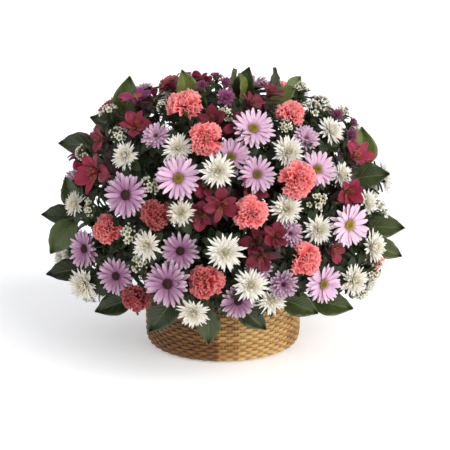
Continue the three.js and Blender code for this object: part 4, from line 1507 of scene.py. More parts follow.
@dataclass(frozen=True)
class Value:
    """A value in a shader that takes ordinary arithmetic."""

    graph: Graph
    socket: bpy.types.NodeSocket

    def __neg__(self) -> Value:
        """The value with its sign turned."""
        return self.graph.maths("MULTIPLY", self, -1.0)

    def __abs__(self) -> Value:
        """The value without its sign."""
        return self.graph.maths("ABSOLUTE", self, 0.0)

    def sine(self) -> Value:
        """Sine of the value."""
        return self.graph.maths("SINE", self, 0.0)

    def held(self) -> Value:
        """The value held between 0 and 1."""
        return self.graph.between(self, 0.0, 1.0)


Operand = Value | float


def arithmetic(operation: str, turned: bool) -> Callable[[Value, Operand], Value]:
    """Makes the method behind an operator.

    Args:
        operation: what it does.
        turned: whether the shader's value is the second of the two.

    Returns:
        The method.
    """
    def method(self: Value, other: Operand) -> Value:
        """One operation on two values."""
        return self.graph.maths(operation, *((other, self) if turned else (self, other)))
    return method


for word, operation in (("add", "ADD"), ("sub", "SUBTRACT"), ("mul", "MULTIPLY"), ("truediv", "DIVIDE"),
                        ("pow", "POWER")):
    setattr(Value, f"__{word}__", arithmetic(operation, False))
    setattr(Value, f"__r{word}__", arithmetic(operation, True))


class Graph:
    """The nodes of one material."""

    def __init__(self, name: str) -> None:
        """Starts an empty material.

        Args:
            name: the material's name.
        """
        self.material = bpy.data.materials.new(name)
        self.material.use_nodes = True
        self.tree = self.material.node_tree
        self.tree.nodes.clear()

    def node(self, kind: str, settings: dict[str, object] | None = None,
             values: dict[str | int, object] | None = None) -> bpy.types.Node:
        """Adds a node, sets it up, and then fills or links its sockets.

        Args:
            kind: the node's type.
            settings: its own settings.
            values: numbers, colours or shader values by socket.

        Returns:
            The new node.
        """
        node = self.tree.nodes.new(kind)
        for key, value in (settings or {}).items():
            setattr(node, key, value)
        for key, value in (values or {}).items():
            if isinstance(value, Value):
                self.tree.links.new(value.socket, node.inputs[key])
            else:
                node.inputs[key].default_value = value
        return node

    def out(self, kind: str, settings: dict[str, object] | None = None,
            values: dict[str | int, object] | None = None, socket: int | str = 0) -> Value:
        """One output of a new node."""
        return Value(self, self.node(kind, settings, values).outputs[socket])

    def maths(self, operation: str, a: Operand, b: Operand) -> Value:
        """Result of one operation on numbers."""
        return self.out("ShaderNodeMath", {"operation": operation}, {0: a, 1: b})

    def between(self, value: Value, low: float, high: float) -> Value:
        """A share from 0 to 1 of the way from low to high, held at both ends."""
        return self.out("ShaderNodeMapRange", {"clamp": True}, {
            "Value": value, "From Min": low, "From Max": high, "To Min": 0.0, "To Max": 1.0})

    def mix(self, share: Operand, first: Value | Sequence[float], second: Value | Sequence[float],
            way: str = "MIX") -> Value:
        """Mixes two colours by a share."""
        return self.out("ShaderNodeMix", {"data_type": "RGBA", "blend_type": way, "clamp_factor": True},
                        {0: share, 6: first, 7: second}, 2)

    def dimmed(self, colour: Value, level: Value) -> Value:
        """A colour made darker or lighter by a number."""
        grey = self.out("ShaderNodeCombineColor", None, {0: level, 1: level, 2: level})
        return self.mix(1.0, colour, grey, "MULTIPLY")

    def carried(self) -> tuple[Value, Value, Value]:
        """The tone, draw and ring that the mesh carries."""
        return tuple(self.out("ShaderNodeAttribute", {"attribute_name": label}, socket="Fac")
                     for label in CARRIED)

    def sheet_place(self) -> tuple[Value, Value]:
        """Places across and along the sheet, from 0 to 1.

        Returns:
            The two places.
        """
        place = self.out("ShaderNodeUVMap", {"uv_map": "sheet"})
        parts = self.node("ShaderNodeSeparateXYZ", None, {0: place})
        return Value(self, parts.outputs[0]), Value(self, parts.outputs[1])

    def object_place(self) -> Value:
        """Place in the object."""
        return self.out("ShaderNodeTexCoord", socket="Object")

    def stretched(self, place: Value, scale: tuple[float, float, float]) -> Value:
        """A place scaled along its axes."""
        return self.out("ShaderNodeVectorMath", {"operation": "MULTIPLY"}, {0: place, 1: scale})

    def noise(self, place: Value, scale: float, detail: float = 3.0, rough: float = 0.5) -> Value:
        """Soft noise from 0 to 1, read at a place; a greater scale makes it finer."""
        return self.out("ShaderNodeTexNoise", None, {
            "Vector": place, "Scale": scale, "Detail": detail, "Roughness": rough})

    def ramp(self, share: Value, stops: Sequence[tuple[float, Colour]]) -> Value:
        """A colour along a row of colours.

        Args:
            share: place along the row.
            stops: places and colours of the row.

        Returns:
            The colour.
        """
        node = self.node("ShaderNodeValToRGB", None, {0: share})
        band = node.color_ramp
        while len(band.elements) < len(stops):
            band.elements.new(0.5)
        for element, (place, colour) in zip(band.elements, stops):
            element.position, element.color = place, linear(colour)
        return Value(self, node.outputs[0])

    def bump(self, height: Value, strength: float, distance: float) -> Value:
        """A normal that follows a height."""
        return self.out("ShaderNodeBump", None, {
            "Height": height, "Strength": strength, "Distance": distance})

    def surface(self, **values: object) -> bpy.types.Material:
        """Ends the material in one surface with these values, underscores for spaces.

        Args:
            values: sockets of the surface by name.

        Returns:
            The material.
        """
        shader = self.node("ShaderNodeBsdfPrincipled", None,
                           {key.replace("_", " "): value for key, value in values.items()})
        self.node("ShaderNodeOutputMaterial", None, {"Surface": Value(self, shader.outputs[0])})
        return self.material


# ---- finishes

@dataclass(frozen=True)
class PetalFinish:
    """Colours and feel of one kind of petal.

    Attributes:
        name: the material's name.
        tones: colours of the petal's body over the blooms' tones.
        foot: colour at the petal's foot, and how far up it reaches.
        tip: colour at its edge, and how strong it is.
        heart: colour that the inner petals turn to, and how strong it is.
        veins: number of fine lines along the petal, and how dark they are.
        glow: share of light that passes through.
        gloss: roughness of the petal.
    """

    name: str
    tones: tuple[tuple[float, Colour], ...]
    foot: tuple[Colour, float]
    tip: tuple[Colour, float]
    heart: tuple[Colour, float]
    veins: tuple[float, float]
    glow: float = 0.15
    gloss: float = 0.55
    flecks: float = 0.0
    fade: float = 0.0

    def material(self) -> bpy.types.Material:
        """Builds the petal's material.

        Returns:
            The material.
        """
        g = Graph(self.name)
        u, v = g.sheet_place()
        tone, chance, ring = g.carried()
        place = g.object_place()
        colour = g.ramp(tone, self.tones)
        worn = 0.6 + 0.8 * g.noise(place, 420.0, 2.0)
        tip = (v ** 3.0) * self.tip[1] * worn * (1.0 - tone * self.fade)
        colour = g.mix(tip.held(), colour, linear(self.tip[0]))
        foot = (1.0 - v / max(self.foot[1], 0.01)).held()
        colour = g.mix(foot, colour, linear(self.foot[0]))
        heart = ((1.0 - ring) ** 2.4) * self.heart[1]
        colour = g.mix(heart.held(), colour, linear(self.heart[0]))
        if self.flecks:
            spots = g.noise(place, 700.0, 2.0, 0.6)
            inner = g.between(ring, 0.95, 1.0) * g.between(v, 0.12, 0.25) * g.between(v, 0.72, 0.5)
            streak = g.between(spots, 0.56, 0.62) * inner * self.flecks
            flare = g.between(v, 0.62, 0.3) * g.between(ring, 0.9, 1.0) * (1.0 - tone * 0.6)
            colour = g.mix((flare * 0.8).held(), colour, linear((214, 150, 70)))
            colour = g.mix(streak, colour, linear((58, 8, 16)))
        lines = ((u + g.noise(place, 240.0, 1.0) * 0.03) * (self.veins[0] * 2 * math.pi)).sine()
        patch = g.noise(place, 75.0, 2.0)
        level = (1.0 + (chance - 0.5) * 0.22 + (patch - 0.5) * 0.2
                 - (0.5 + lines * 0.5) * self.veins[1] * (0.4 + v * 0.6))
        colour = g.dimmed(colour, level)
        height = lines * 0.5 + g.noise(place, 900.0, 2.0) * 0.7
        return g.surface(Base_Color=colour, Roughness=self.gloss + (patch - 0.5) * 0.15,
                         Normal=g.bump(height, 0.5, 0.0004), Subsurface_Weight=self.glow,
                         Subsurface_Radius=(0.9, 0.45, 0.45), Subsurface_Scale=0.004,
                         Specular_IOR_Level=0.3, Sheen_Weight=0.12, Sheen_Roughness=0.5)


@dataclass(frozen=True)
class HeartFinish:
    """Finish of a disc, throat or cup, over the blooms' tones and from the middle to the rim."""

    name: str
    middle: tuple[tuple[float, Colour], ...]
    rim: tuple[tuple[float, Colour], ...]
    gloss: float = 0.6

    def material(self) -> bpy.types.Material:
        """Builds the material.

        Returns:
            The material.
        """
        g = Graph(self.name)
        tone, chance, ring = g.carried()
        place = g.object_place()
        colour = g.mix(ring, g.ramp(tone, self.middle), g.ramp(tone, self.rim))
        grain = g.noise(place, 1400.0, 2.0)
        colour = g.dimmed(colour, 0.75 + chance * 0.3 + (grain - 0.5) * 0.5)
        return g.surface(Base_Color=colour, Roughness=self.gloss + (grain - 0.5) * 0.2,
                         Normal=g.bump(grain, 0.5, 0.0003), Subsurface_Weight=0.1,
                         Subsurface_Radius=(0.6, 0.5, 0.2), Subsurface_Scale=0.002,
                         Specular_IOR_Level=0.35)


@dataclass(frozen=True)
class StemFinish:
    """Finish of stems and cups of sepals: green with paler streaks along the stem."""

    name: str = "green_stem"
    light: Colour = (100, 120, 54)
    dark: Colour = (40, 58, 24)

    def material(self) -> bpy.types.Material:
        """Builds the material.

        Returns:
            The material.
        """
        g = Graph(self.name)
        place = g.object_place()
        streaks = g.noise(g.stretched(place, (1.0, 1.0, 0.25)), 600.0, 3.0)
        patch = g.noise(place, 45.0, 2.0)
        share = g.between(streaks * 0.6 + patch * 0.6 + g.carried()[1] * 0.2, 0.35, 1.0)
        colour = g.mix(share, linear(self.dark), linear(self.light))
        return g.surface(Base_Color=colour, Roughness=0.5 + streaks * 0.15,
                         Normal=g.bump(streaks, 0.35, 0.0004), Specular_IOR_Level=0.35)


@dataclass(frozen=True)
class LeafFinish:
    """Finish of a leaf: midrib and side veins, mottled green, a waxy shine."""

    name: str
    tones: tuple[tuple[float, Colour], ...]
    vein: Colour
    pairs: float
    gloss: float
    coat: float

    def material(self) -> bpy.types.Material:
        """Builds the leaf's material.

        Returns:
            The material.
        """
        g = Graph(self.name)
        u, v = g.sheet_place()
        place = g.object_place()
        tone, chance, _ = g.carried()
        off = abs(u - 0.5) * 2.0
        rib = g.between(off, 0.075, 0.02)
        wave = ((v - off * 0.34) * (self.pairs * 2 * math.pi)).sine()
        side = g.between(wave, 0.86, 1.0) * g.between(off, 1.0, 0.7)
        mottle = g.noise(place, 130.0, 4.0, 0.6)
        cells = g.noise(place, 900.0, 2.0)
        colour = g.ramp(tone, self.tones)
        level = 0.8 + (mottle - 0.5) * 0.7 + (chance - 0.5) * 0.35 + (cells - 0.5) * 0.15
        colour = g.dimmed(colour, level)
        edge = g.between(off, 0.9, 1.0) * 0.12
        colour = g.mix((rib * 0.6 + side * 0.3 + edge).held(), colour, linear(self.vein))
        height = cells * 0.3 - side * 0.7 - rib * 1.2 + g.between(abs(wave), 0.0, 1.0) * -0.35
        return g.surface(Base_Color=colour, Roughness=self.gloss + (mottle - 0.5) * 0.25,
                         Normal=g.bump(height, 0.6, 0.0009), Subsurface_Weight=0.05,
                         Subsurface_Radius=(0.3, 0.6, 0.1), Subsurface_Scale=0.002,
                         Coat_Weight=self.coat, Coat_Roughness=0.3, Specular_IOR_Level=0.45)


@dataclass(frozen=True)
class WickerFinish:
    """Finish of the cane strands: honey to brown, streaked along the strand, with painted shade in the
    weave and round the basket.
    """

    name: str = "honey_wicker"
    tones: tuple[tuple[float, Colour], ...] = (
        (0.0, (212, 170, 106)), (0.3, (182, 136, 74)), (0.6, (138, 92, 40)), (1.0, (96, 58, 20)))

    def material(self) -> bpy.types.Material:
        """Builds the material.

        Returns:
            The material.
        """
        g = Graph(self.name)
        place = g.object_place()
        tone, chance, ring = g.carried()
        streaks = g.noise(g.stretched(place, (0.35, 0.35, 2.6)), 520.0, 4.0, 0.6)
        patch = g.noise(place, 26.0, 3.0, 0.6)
        # the carried tone is the strand's own colour plus painted shade and light round the basket
        share = tone * 0.8 + (chance - 0.5) * 0.25 + (patch - 0.5) * 0.5 + (streaks - 0.5) * 0.6
        colour = g.ramp(share.held(), self.tones)
        # painted shade: the carried ring darkens strands behind stakes, under the twist and at the base
        colour = g.dimmed(colour, 0.46 + ring * 0.54)
        return g.surface(Base_Color=colour, Roughness=0.42 + streaks * 0.25,
                         Normal=g.bump(streaks, 0.6, 0.0006), Coat_Weight=0.04 + patch * 0.1,
                         Coat_Roughness=0.35, Specular_IOR_Level=0.4)


@dataclass(frozen=True)
class LinerFinish:
    """Finish of the moulded dish: dark green, faintly ribbed, with scuffs."""

    name: str = "liner_plastic"

    def material(self) -> bpy.types.Material:
        """Builds the material.

        Returns:
            The material.
        """
        g = Graph(self.name)
        place = g.object_place()
        scuffs = g.noise(place, 90.0, 5.0, 0.65)
        fine = g.noise(place, 700.0, 2.0)
        colour = g.mix(g.between(scuffs, 0.35, 0.75), linear((36, 54, 38)), linear((62, 84, 60)))
        return g.surface(Base_Color=colour, Roughness=0.35 + scuffs * 0.3,
                         Normal=g.bump(fine, 0.15, 0.0003), Specular_IOR_Level=0.5)


@dataclass(frozen=True)
class FoamFinish:
    """Finish of the wet foam: fine open pores, darker where it is wet."""

    name: str = "wet_foam"

    def material(self) -> bpy.types.Material:
        """Builds the material.

        Returns:
            The material.
        """
        g = Graph(self.name)
        place = g.object_place()
        pores = g.noise(place, 1100.0, 3.0, 0.7)
        wet = g.noise(place, 30.0, 3.0)
        colour = g.mix(g.between(wet, 0.35, 0.7), linear((34, 66, 42)), linear((56, 98, 62)))
        colour = g.dimmed(colour, 0.6 + pores * 0.7)
        return g.surface(Base_Color=colour, Roughness=0.8 + pores * 0.15,
                         Normal=g.bump(pores, 0.9, 0.001), Specular_IOR_Level=0.3)


@dataclass(frozen=True)
class FloorFinish:
    """Finish of the pale floor."""

    name: str = "pale_floor"

    def material(self) -> bpy.types.Material:
        """Builds the material.

        Returns:
            The material.
        """
        g = Graph(self.name)
        cloud = g.noise(g.object_place(), 1.5, 2.0)
        colour = g.mix(cloud, linear((247, 247, 249)), linear((252, 252, 253)))
        return g.surface(Base_Color=colour, Roughness=0.8 + cloud * 0.05, Specular_IOR_Level=0.1,
                         Emission_Color=linear((255, 255, 255)), Emission_Strength=0.35)


PETALS: dict[Kind, PetalFinish] = {
    Kind.CARNATION: PetalFinish(
        "coral_petal", ((0.0, (255, 106, 108)), (0.3, (248, 88, 92)), (0.6, (190, 50, 54)),
                        (1.0, (128, 28, 32))),
        foot=((182, 38, 46), 0.4), tip=((255, 190, 186), 0.6), heart=((224, 50, 58), 0.45),
        veins=(9.0, 0.1), glow=0.2, fade=0.85),
    Kind.DAISY: PetalFinish(
        "lavender_petal", ((0.0, (240, 200, 222)), (0.4, (220, 170, 204)), (0.8, (170, 114, 154)),
                           (1.0, (136, 82, 116))),
        foot=((134, 70, 112), 0.34), tip=((252, 226, 240), 0.6), heart=((170, 110, 152), 0.35),
        veins=(4.0, 0.22), glow=0.12),
    Kind.MUM: PetalFinish(
        "cream_petal", ((0.0, (255, 250, 241)), (0.5, (254, 247, 234)), (1.0, (240, 231, 210))),
        foot=((236, 226, 192), 0.25), tip=((255, 253, 248), 0.5), heart=((230, 217, 148), 0.65),
        veins=(3.0, 0.05), glow=0.12),
    Kind.LILY: PetalFinish(
        "crimson_petal", ((0.0, (116, 28, 96)), (0.2, (160, 34, 74)), (0.45, (146, 22, 56)),
                          (0.75, (116, 10, 42)), (1.0, (90, 6, 28))),
        foot=((78, 6, 22), 0.3), tip=((168, 34, 76), 0.2), heart=((150, 30, 50), 0.0),
        veins=(7.0, 0.2), glow=0.08, gloss=0.45, flecks=0.9),
    Kind.BUTTON: PetalFinish(
        "magenta_petal", ((0.0, (176, 96, 146)), (0.5, (146, 56, 104)), (1.0, (102, 24, 62))),
        foot=((78, 14, 46), 0.4), tip=((190, 112, 158), 0.3), heart=((88, 16, 48), 0.8),
        veins=(3.0, 0.1)),
    Kind.WAX: PetalFinish(
        "ivory_petal", ((0.0, (250, 244, 230)), (0.6, (226, 220, 196)), (1.0, (180, 178, 146))),
        foot=((140, 144, 92), 0.6), tip=((250, 248, 236), 0.35), heart=((150, 152, 100), 0.5),
        veins=(2.0, 0.05)),
    Kind.LEAF: PetalFinish(
        "leaf_bud", ((0.0, (100, 122, 56)), (1.0, (62, 84, 36))), foot=((60, 76, 32), 0.3),
        tip=((130, 140, 78), 0.2), heart=((60, 76, 32), 0.2), veins=(3.0, 0.1)),
}

HEARTS: dict[Kind, HeartFinish] = {
    Kind.CARNATION: HeartFinish("carnation_calyx", ((0.0, (98, 120, 66)), (1.0, (74, 96, 50))),
                                ((0.0, (120, 142, 84)), (1.0, (90, 112, 62)))),
    Kind.DAISY: HeartFinish(
        "daisy_disc",
        ((0.0, (146, 142, 36)), (0.45, (116, 116, 34)), (0.7, (62, 44, 24)), (1.0, (40, 16, 18))),
        ((0.0, (206, 164, 48)), (0.45, (160, 132, 50)), (0.75, (72, 40, 30)), (1.0, (58, 24, 28)))),
    Kind.MUM: HeartFinish("mum_heart", ((0.0, (186, 190, 96)), (1.0, (130, 148, 60))),
                          ((0.0, (214, 210, 130)), (1.0, (162, 172, 86)))),
    Kind.LILY: HeartFinish("lily_stamen", ((0.0, (200, 130, 60)), (1.0, (90, 40, 28))),
                           ((0.0, (150, 96, 60)), (1.0, (70, 34, 26)))),
    Kind.BUTTON: HeartFinish("button_heart", ((0.0, (112, 34, 74)), (1.0, (60, 12, 34))),
                             ((0.0, (132, 54, 94)), (1.0, (78, 18, 46)))),
    Kind.WAX: HeartFinish("waxflower_cup", ((0.0, (128, 124, 70)), (1.0, (92, 70, 50))),
                          ((0.0, (170, 170, 116)), (1.0, (130, 108, 80)))),
    Kind.LEAF: HeartFinish("leaf_stalk", ((0.0, (120, 94, 52)), (1.0, (84, 64, 36))),
                           ((0.0, (120, 104, 54)), (1.0, (84, 70, 36)))),
}

SALAL = LeafFinish(
    "salal_leaf",
    ((0.0, (124, 134, 64)), (0.35, (86, 100, 42)), (0.7, (50, 64, 26)), (1.0, (34, 44, 18))),
    vein=(98, 114, 60), pairs=5.0, gloss=0.4, coat=0.25)
WINE_FOLIAGE = LeafFinish(
    "wine_foliage", ((0.0, (92, 78, 50)), (0.5, (74, 40, 34)), (1.0, (44, 20, 22))),
    vein=(110, 72, 60), pairs=4.0, gloss=0.5, coat=0.1)
FOLIAGE = LeafFinish(
    "flower_foliage", ((0.0, (96, 112, 50)), (0.5, (56, 72, 30)), (1.0, (28, 40, 18))),
    vein=(84, 100, 50), pairs=4.0, gloss=0.6, coat=0.05)


# ---- blooms

class Slot(IntEnum):
    """Finish numbers of a spray."""

    PETAL = 0
    HEART = 1
    STEM = 2
    FOLIAGE = 3


GOLDEN = math.pi * (3 - math.sqrt(5))


Pair = tuple[float, float]


@dataclass(frozen=True)
class Whorl:
    """A ring of petals.

    Attributes:
        count: number of petals.
        length: length of a petal, as a share of the bloom's radius.
        width: its width.
        lift: angle of its foot above the level, in degrees.
        curl: angle that it bends up by.
        base: distance of its foot from the axis.
        height: height of its foot.
        ring: place of the ring from the middle, 0, to the outside, 1.
        loose: how much the petals differ.
    """

    count: int
    length: float
    width: float
    lift: float
    curl: float
    base: float = 0.1
    height: float = 0.0
    ring: float = 1.0
    loose: float = 1.0


@dataclass
class Bloom:
    """Builds one bloom in its own axes, facing +Z.

    Attributes:
        masters: the forms that it repeats.
        r: its radius.
        tone: its tone.
        rng: source of the small differences.
    """

    masters: Masters
    r: float
    tone: float
    rng: np.random.Generator

    def parts(self) -> list[Form]:
        """Forms of the bloom; each kind has its own."""
        raise NotImplementedError

    def petals(self, master: Form, points: Array, ring: Numbers) -> Form:
        """Petals with small differences in colour.

        Args:
            master: the petal to repeat.
            points: points of every copy.
            ring: place of each from the middle, 0, to the outside, 1.

        Returns:
            The petals.
        """
        n = len(points)
        tones = np.clip(self.tone + self.rng.normal(0, 0.05, n), 0, 1)
        values = np.stack([tones, self.rng.uniform(0, 1, n), np.broadcast_to(ring, n)], axis=1)
        return master.copies(points, Slot.PETAL, values)

    def whorl(self, master: Form, w: Whorl) -> Form:
        """One ring of petals with small differences between them.

        Args:
            master: the petal to repeat.
            w: the ring.

        Returns:
            The petals.
        """
        r, rng, n, loose = self.r, self.rng, w.count, w.loose
        azimuth = (np.arange(n) + rng.uniform(0, 1) + rng.normal(0, 0.09 * loose, n)) * 2 * math.pi / n
        length = r * w.length * (1 + rng.normal(0, 0.045 * loose, n))
        points = bend_out(
            master, azimuth, w.base * r, w.height * r + rng.normal(0, 0.012 * r, n), length,
            r * w.width * (1 + rng.normal(0, 0.06, n)),
            np.radians(w.lift + rng.normal(0, 3.5 * loose, n)),
            np.radians(w.curl + rng.normal(0, 8 * loose, n)), rng.normal(0, 0.22 * loose, n),
            rng.normal(0, 0.05 * loose, n))
        return self.petals(master, points, w.ring)

    def spiral(self, count: int, length: Pair, width: Pair, lift: Pair, curl: Pair, base: Pair,
               height: Pair) -> Form:
        """Hollow petals set in a spiral; each pair of values is for the middle and for the outside.

        Args:
            count: number of petals.
            length: their lengths as shares of the radius.
            width: their widths.
            lift: angles above the level, in degrees.
            curl: angles that they bend by.
            base: distances of their feet from the axis.
            height: heights of their feet.

        Returns:
            The petals.
        """
        r, rng, master = self.r, self.rng, self.masters.cushion
        share = (np.arange(count) + 0.5) / count

        def run(pair: Pair, power: float = 1.0) -> Array:
            """Values from the middle to the outside."""
            return pair[0] + (pair[1] - pair[0]) * share ** power

        points = bend_out(
            master, np.arange(count) * GOLDEN + rng.normal(0, 0.06, count), run(base) * r,
            run(height) * r, run(length, 0.8) * r * (1 + rng.normal(0, 0.05, count)),
            run(width) * r * (1 + rng.normal(0, 0.06, count)),
            np.radians(run(lift, 0.9) + rng.normal(0, 4, count)),
            np.radians(run(curl) + rng.normal(0, 9, count)), rng.normal(0, 0.25, count),
            rng.normal(0, 0.06, count))
        return self.petals(master, points, share)

    def disc(self, count: int, radius: float, foot: float, rise: float) -> Form:
        """Raised disc of tiny grains set in a spiral, its sizes as shares of the bloom's radius.

        Args:
            count: number of grains.
            radius: radius of the disc.
            foot: height of its rim.
            rise: how far its middle stands up.

        Returns:
            The disc.
        """
        rng, master = self.rng, self.masters.grain
        radius, foot, rise = radius * self.r, foot * self.r, rise * self.r
        share = np.sqrt((np.arange(count) + 0.5) / count)
        angle = np.arange(count) * GOLDEN
        grain = radius / math.sqrt(count) * 0.98
        sizes = grain * (0.8 + 0.35 * share) * (1 + rng.normal(0, 0.06, count))
        heights = foot + rise * (1 - share ** 2) + rng.normal(0, grain * 0.12, count)
        out = share * radius
        spots = np.stack([np.cos(angle) * out, np.sin(angle) * out, heights], axis=1)
        points = spots[:, None, :] + master.points[None] * sizes[:, None, None] * [1, 1, 1.25]
        values = np.stack([np.full(count, self.tone), rng.uniform(0, 1, count), share ** 2], axis=1)
        return master.copies(points, Slot.HEART, values)

    def cup(self, radius: float, bottom: float, top: float, slot: Slot = Slot.STEM) -> Form:
        """Cup of sepals between two heights, as shares of the bloom's radius."""
        form = self.masters.cup.scaled(radius * self.r, radius * self.r, (top - bottom) * self.r)
        return form.finished(slot, self.tone, 0.5, 0.8).moved(UP * bottom * self.r)


@dataclass
class Carnation(Bloom):
    """Ruffled tiers of toothed petals above a long cup."""

    tiers: tuple[Whorl, ...] = (
        Whorl(7, 0.98, 0.86, -8, 22, 0.06, -0.16, 1.0), Whorl(8, 0.95, 0.82, 10, 12, 0.06, -0.12, 0.92),
        Whorl(8, 0.88, 0.76, 26, 10, 0.06, -0.08, 0.8), Whorl(7, 0.8, 0.7, 42, 8, 0.06, -0.06, 0.65),
        Whorl(7, 0.72, 0.62, 58, 4, 0.06, -0.04, 0.45), Whorl(6, 0.64, 0.54, 72, 0, 0.05, -0.02, 0.25),
        Whorl(4, 0.58, 0.46, 84, -6, 0.02, 0.0, 0.1))
    step: float = 4.0
    loose: float = 1.5

    def parts(self) -> list[Form]:
        """Forms of the bloom.

        Returns:
            The cup and the petals, each tier made of the three ruffled petals in turn.
        """
        forms = [self.cup(0.27, -0.88, -0.2, Slot.HEART)]
        for tier in self.tiers:
            for k, master in enumerate(self.masters.ruffles):
                count = (tier.count + k) // len(self.masters.ruffles)
                part = replace(tier, count=count, lift=tier.lift + self.step * k, loose=self.loose)
                forms.append(self.whorl(master, part))
        return forms


@dataclass
class Daisy(Bloom):
    """Two rows of long petals round a grainy disc; a small one is fuller, with a smaller disc."""

    full_below: float = 21.5
    rows: tuple[Whorl, ...] = (Whorl(19, 0.84, 0.2, 4, 6, 0.15, 0.0, 1.0),
                               Whorl(17, 0.78, 0.19, 13, 4, 0.14, 0.03, 0.9),
                               Whorl(14, 0.66, 0.19, 26, 6, 0.12, 0.05, 0.8),
                               Whorl(12, 0.52, 0.18, 42, 10, 0.1, 0.07, 0.7))

    def parts(self) -> list[Form]:
        """Forms of the bloom.

        Returns:
            The cup, the rows of petals and the disc.
        """
        small = self.r < self.full_below
        rows = self.rows if small else self.rows[:2]
        return [self.cup(0.26, -0.2, 0.02), *(self.whorl(self.masters.strap, row) for row in rows),
                self.disc(46 if small else 80, 0.15 if small else 0.22, 0.08, 0.09)]


@dataclass
class Cushion(Bloom):
    """Dense double bloom: hollow petals in a spiral, the inner ones short and upright."""

    def parts(self) -> list[Form]:
        """The cup, the petals and the heart of the bloom.

        Returns:
            The forms.
        """
        spiral = self.spiral(124, (0.26, 0.92), (0.1, 0.17), (84, 1), (22, 4), (0.02, 0.12),
                             (0.06, -0.02))
        return [self.cup(0.34, -0.3, 0.0), spiral, self.disc(16, 0.1, 0.16, 0.06)]


@dataclass
class Button(Bloom):
    """Small tight ball of short petals."""

    def parts(self) -> list[Form]:
        """The cup and the petals of the bloom.

        Returns:
            The forms.
        """
        spiral = self.spiral(64, (0.34, 0.86), (0.18, 0.3), (86, 4), (26, 14), (0.03, 0.16),
                             (0.12, -0.05))
        return [self.cup(0.5, -0.42, -0.02), spiral]


@dataclass
class Lily(Bloom):
    """Funnel of six petals, three broad and three narrow, with curved stamens; a small one is a bud."""

    bud_below: float = 12.0
    stamens: int = 6

    def parts(self) -> list[Form]:
        """Forms of the bloom.

        Returns:
            The cup, the petals and the stamens with their tips.
        """
        r, tone, rng = self.r, self.tone, self.rng
        bud = r < self.bud_below
        lift, curl = (86, -14) if bud else (74, -66)
        forms = [self.cup(0.14, -0.84, -0.56)]
        outer = Whorl(3, 1.5, 0.92, lift, curl, 0.04, -0.66, 0.6, 1.5)
        inner = Whorl(3, 1.5, 0.54, lift, curl + 8, 0.03, -0.64, 1.0, 1.5)
        turn = rng.uniform(0, 2 * math.pi)
        for row, start in ((outer, 0.0), (inner, math.pi / 3)):
            same = replace(self, rng=np.random.default_rng(int(turn * 1e6)))
            form = same.whorl(self.masters.lily, row)
            form.values[:, 1] = rng.uniform(0, 1)
            c, s = math.cos(start), math.sin(start)
            forms.append(form.placed(np.array([[c, -s, 0], [s, c, 0], [0, 0, 1]]), np.zeros(3)))
        for k in range(0 if bud else self.stamens):
            a = turn + k * 2 * math.pi / self.stamens + 0.3
            way = np.array([math.cos(a), math.sin(a), 0.0])
            path = rounded([UP * -0.6 * r, UP * -0.2 * r + way * 0.06 * r,
                            UP * (0.16 + 0.06 * (k % 2)) * r + way * 0.26 * r])
            stalk = lay(self.masters.twig, path, (0.022 * r, 0.022 * r))
            forms.append(stalk.finished(Slot.PETAL, max(0.0, tone - 0.3), 0.6, 0.6))
            grain = self.masters.grain.scaled(0.06 * r, 0.06 * r, 0.1 * r).moved(path[-1])
            forms.append(grain.finished(Slot.HEART, tone, 0.5, 0.5))
        return forms


@dataclass
class Waxflower(Bloom):
    """Cluster of small five-petalled florets and buds that fan out on thin stalks."""

    florets: int = 12
    needles: int = 20
    floret_radius: tuple[float, float] = (3.8, 5.4)
    bud: float = 0.75

    def parts(self) -> list[Form]:
        """Forms of the cluster.

        Returns:
            The florets on their stalks, and the needles below them.
        """
        r, tone, rng = self.r, self.tone, self.rng
        forms: list[Form] = []
        neck = UP * -0.5 * r
        for k in range(self.florets):
            share = math.sqrt((k + 0.35) / self.florets)
            a = k * GOLDEN + rng.normal(0, 0.2)
            spot = np.array([math.cos(a) * share * 0.82, math.sin(a) * share * 0.82,
                             0.4 - 0.42 * share + rng.normal(0, 0.07)]) * r
            out = unit(spot - neck)
            across = square_axis(out, rng.uniform(0, 6))
            axes = np.stack([across, np.cross(out, across), out], axis=1)
            closed = k % 3 == 2
            size = rng.uniform(*self.floret_radius) * (self.bud if closed else 1.0) * min(1.15, r / 15)
            path = rounded([neck, neck + UP * 0.2 * r + out * 0.15 * r, spot - out * size])
            stalk = lay(self.masters.twig, path, (0.45, 0.45))
            forms.append(stalk.finished(Slot.STEM, tone, 0.7, 1.0))
            forms += [part.placed(axes, spot) for part in self.floret(size, closed)]
        leaf = self.masters.leaflet
        for k in range(self.needles):
            needle = bend_out(leaf, [k * GOLDEN + 0.8], 0.3, rng.uniform(-0.4, -0.1) * r,
                              rng.uniform(0.45, 0.7) * r, 1.4, rng.uniform(0.5, 1.1), -0.4, 0.0, 0.05)
            forms.append(leaf.copies(needle, Slot.FOLIAGE, np.array([[0.4, 0.5, 1.0]])))
        return forms

    def floret(self, size: float, bud: bool) -> list[Form]:
        """One floret.

        Args:
            size: its radius.
            bud: whether it is still a bud.

        Returns:
            Its petals, cup and middle.
        """
        n, rng, masters = 5, self.rng, self.masters
        lift, curl = (70, 45) if bud else (22, 12)
        points = bend_out(
            masters.round, (np.arange(n) + rng.uniform()) * 2 * math.pi / n, 0.22 * size, 0.0,
            size * 0.82 * (1 + rng.normal(0, 0.05, n)), size * 0.72,
            np.radians(lift + rng.normal(0, 6, n)), math.radians(curl), rng.normal(0, 0.15, n), 0.0)
        values = np.stack([np.full(n, self.tone), rng.uniform(0, 1, n), np.ones(n)], axis=1)
        petals = masters.round.copies(points, Slot.PETAL, values)
        cup = masters.cup.scaled(0.3 * size, 0.3 * size, 0.75 * size).moved(UP * -0.6 * size)
        middle = masters.grain.scaled(0.2 * size, 0.2 * size, 0.24 * size).moved(UP * 0.14 * size)
        return [petals, cup.finished(Slot.HEART, self.tone, 0.5, 0.2),
                middle.finished(Slot.HEART, self.tone, 0.4, 1.0)]


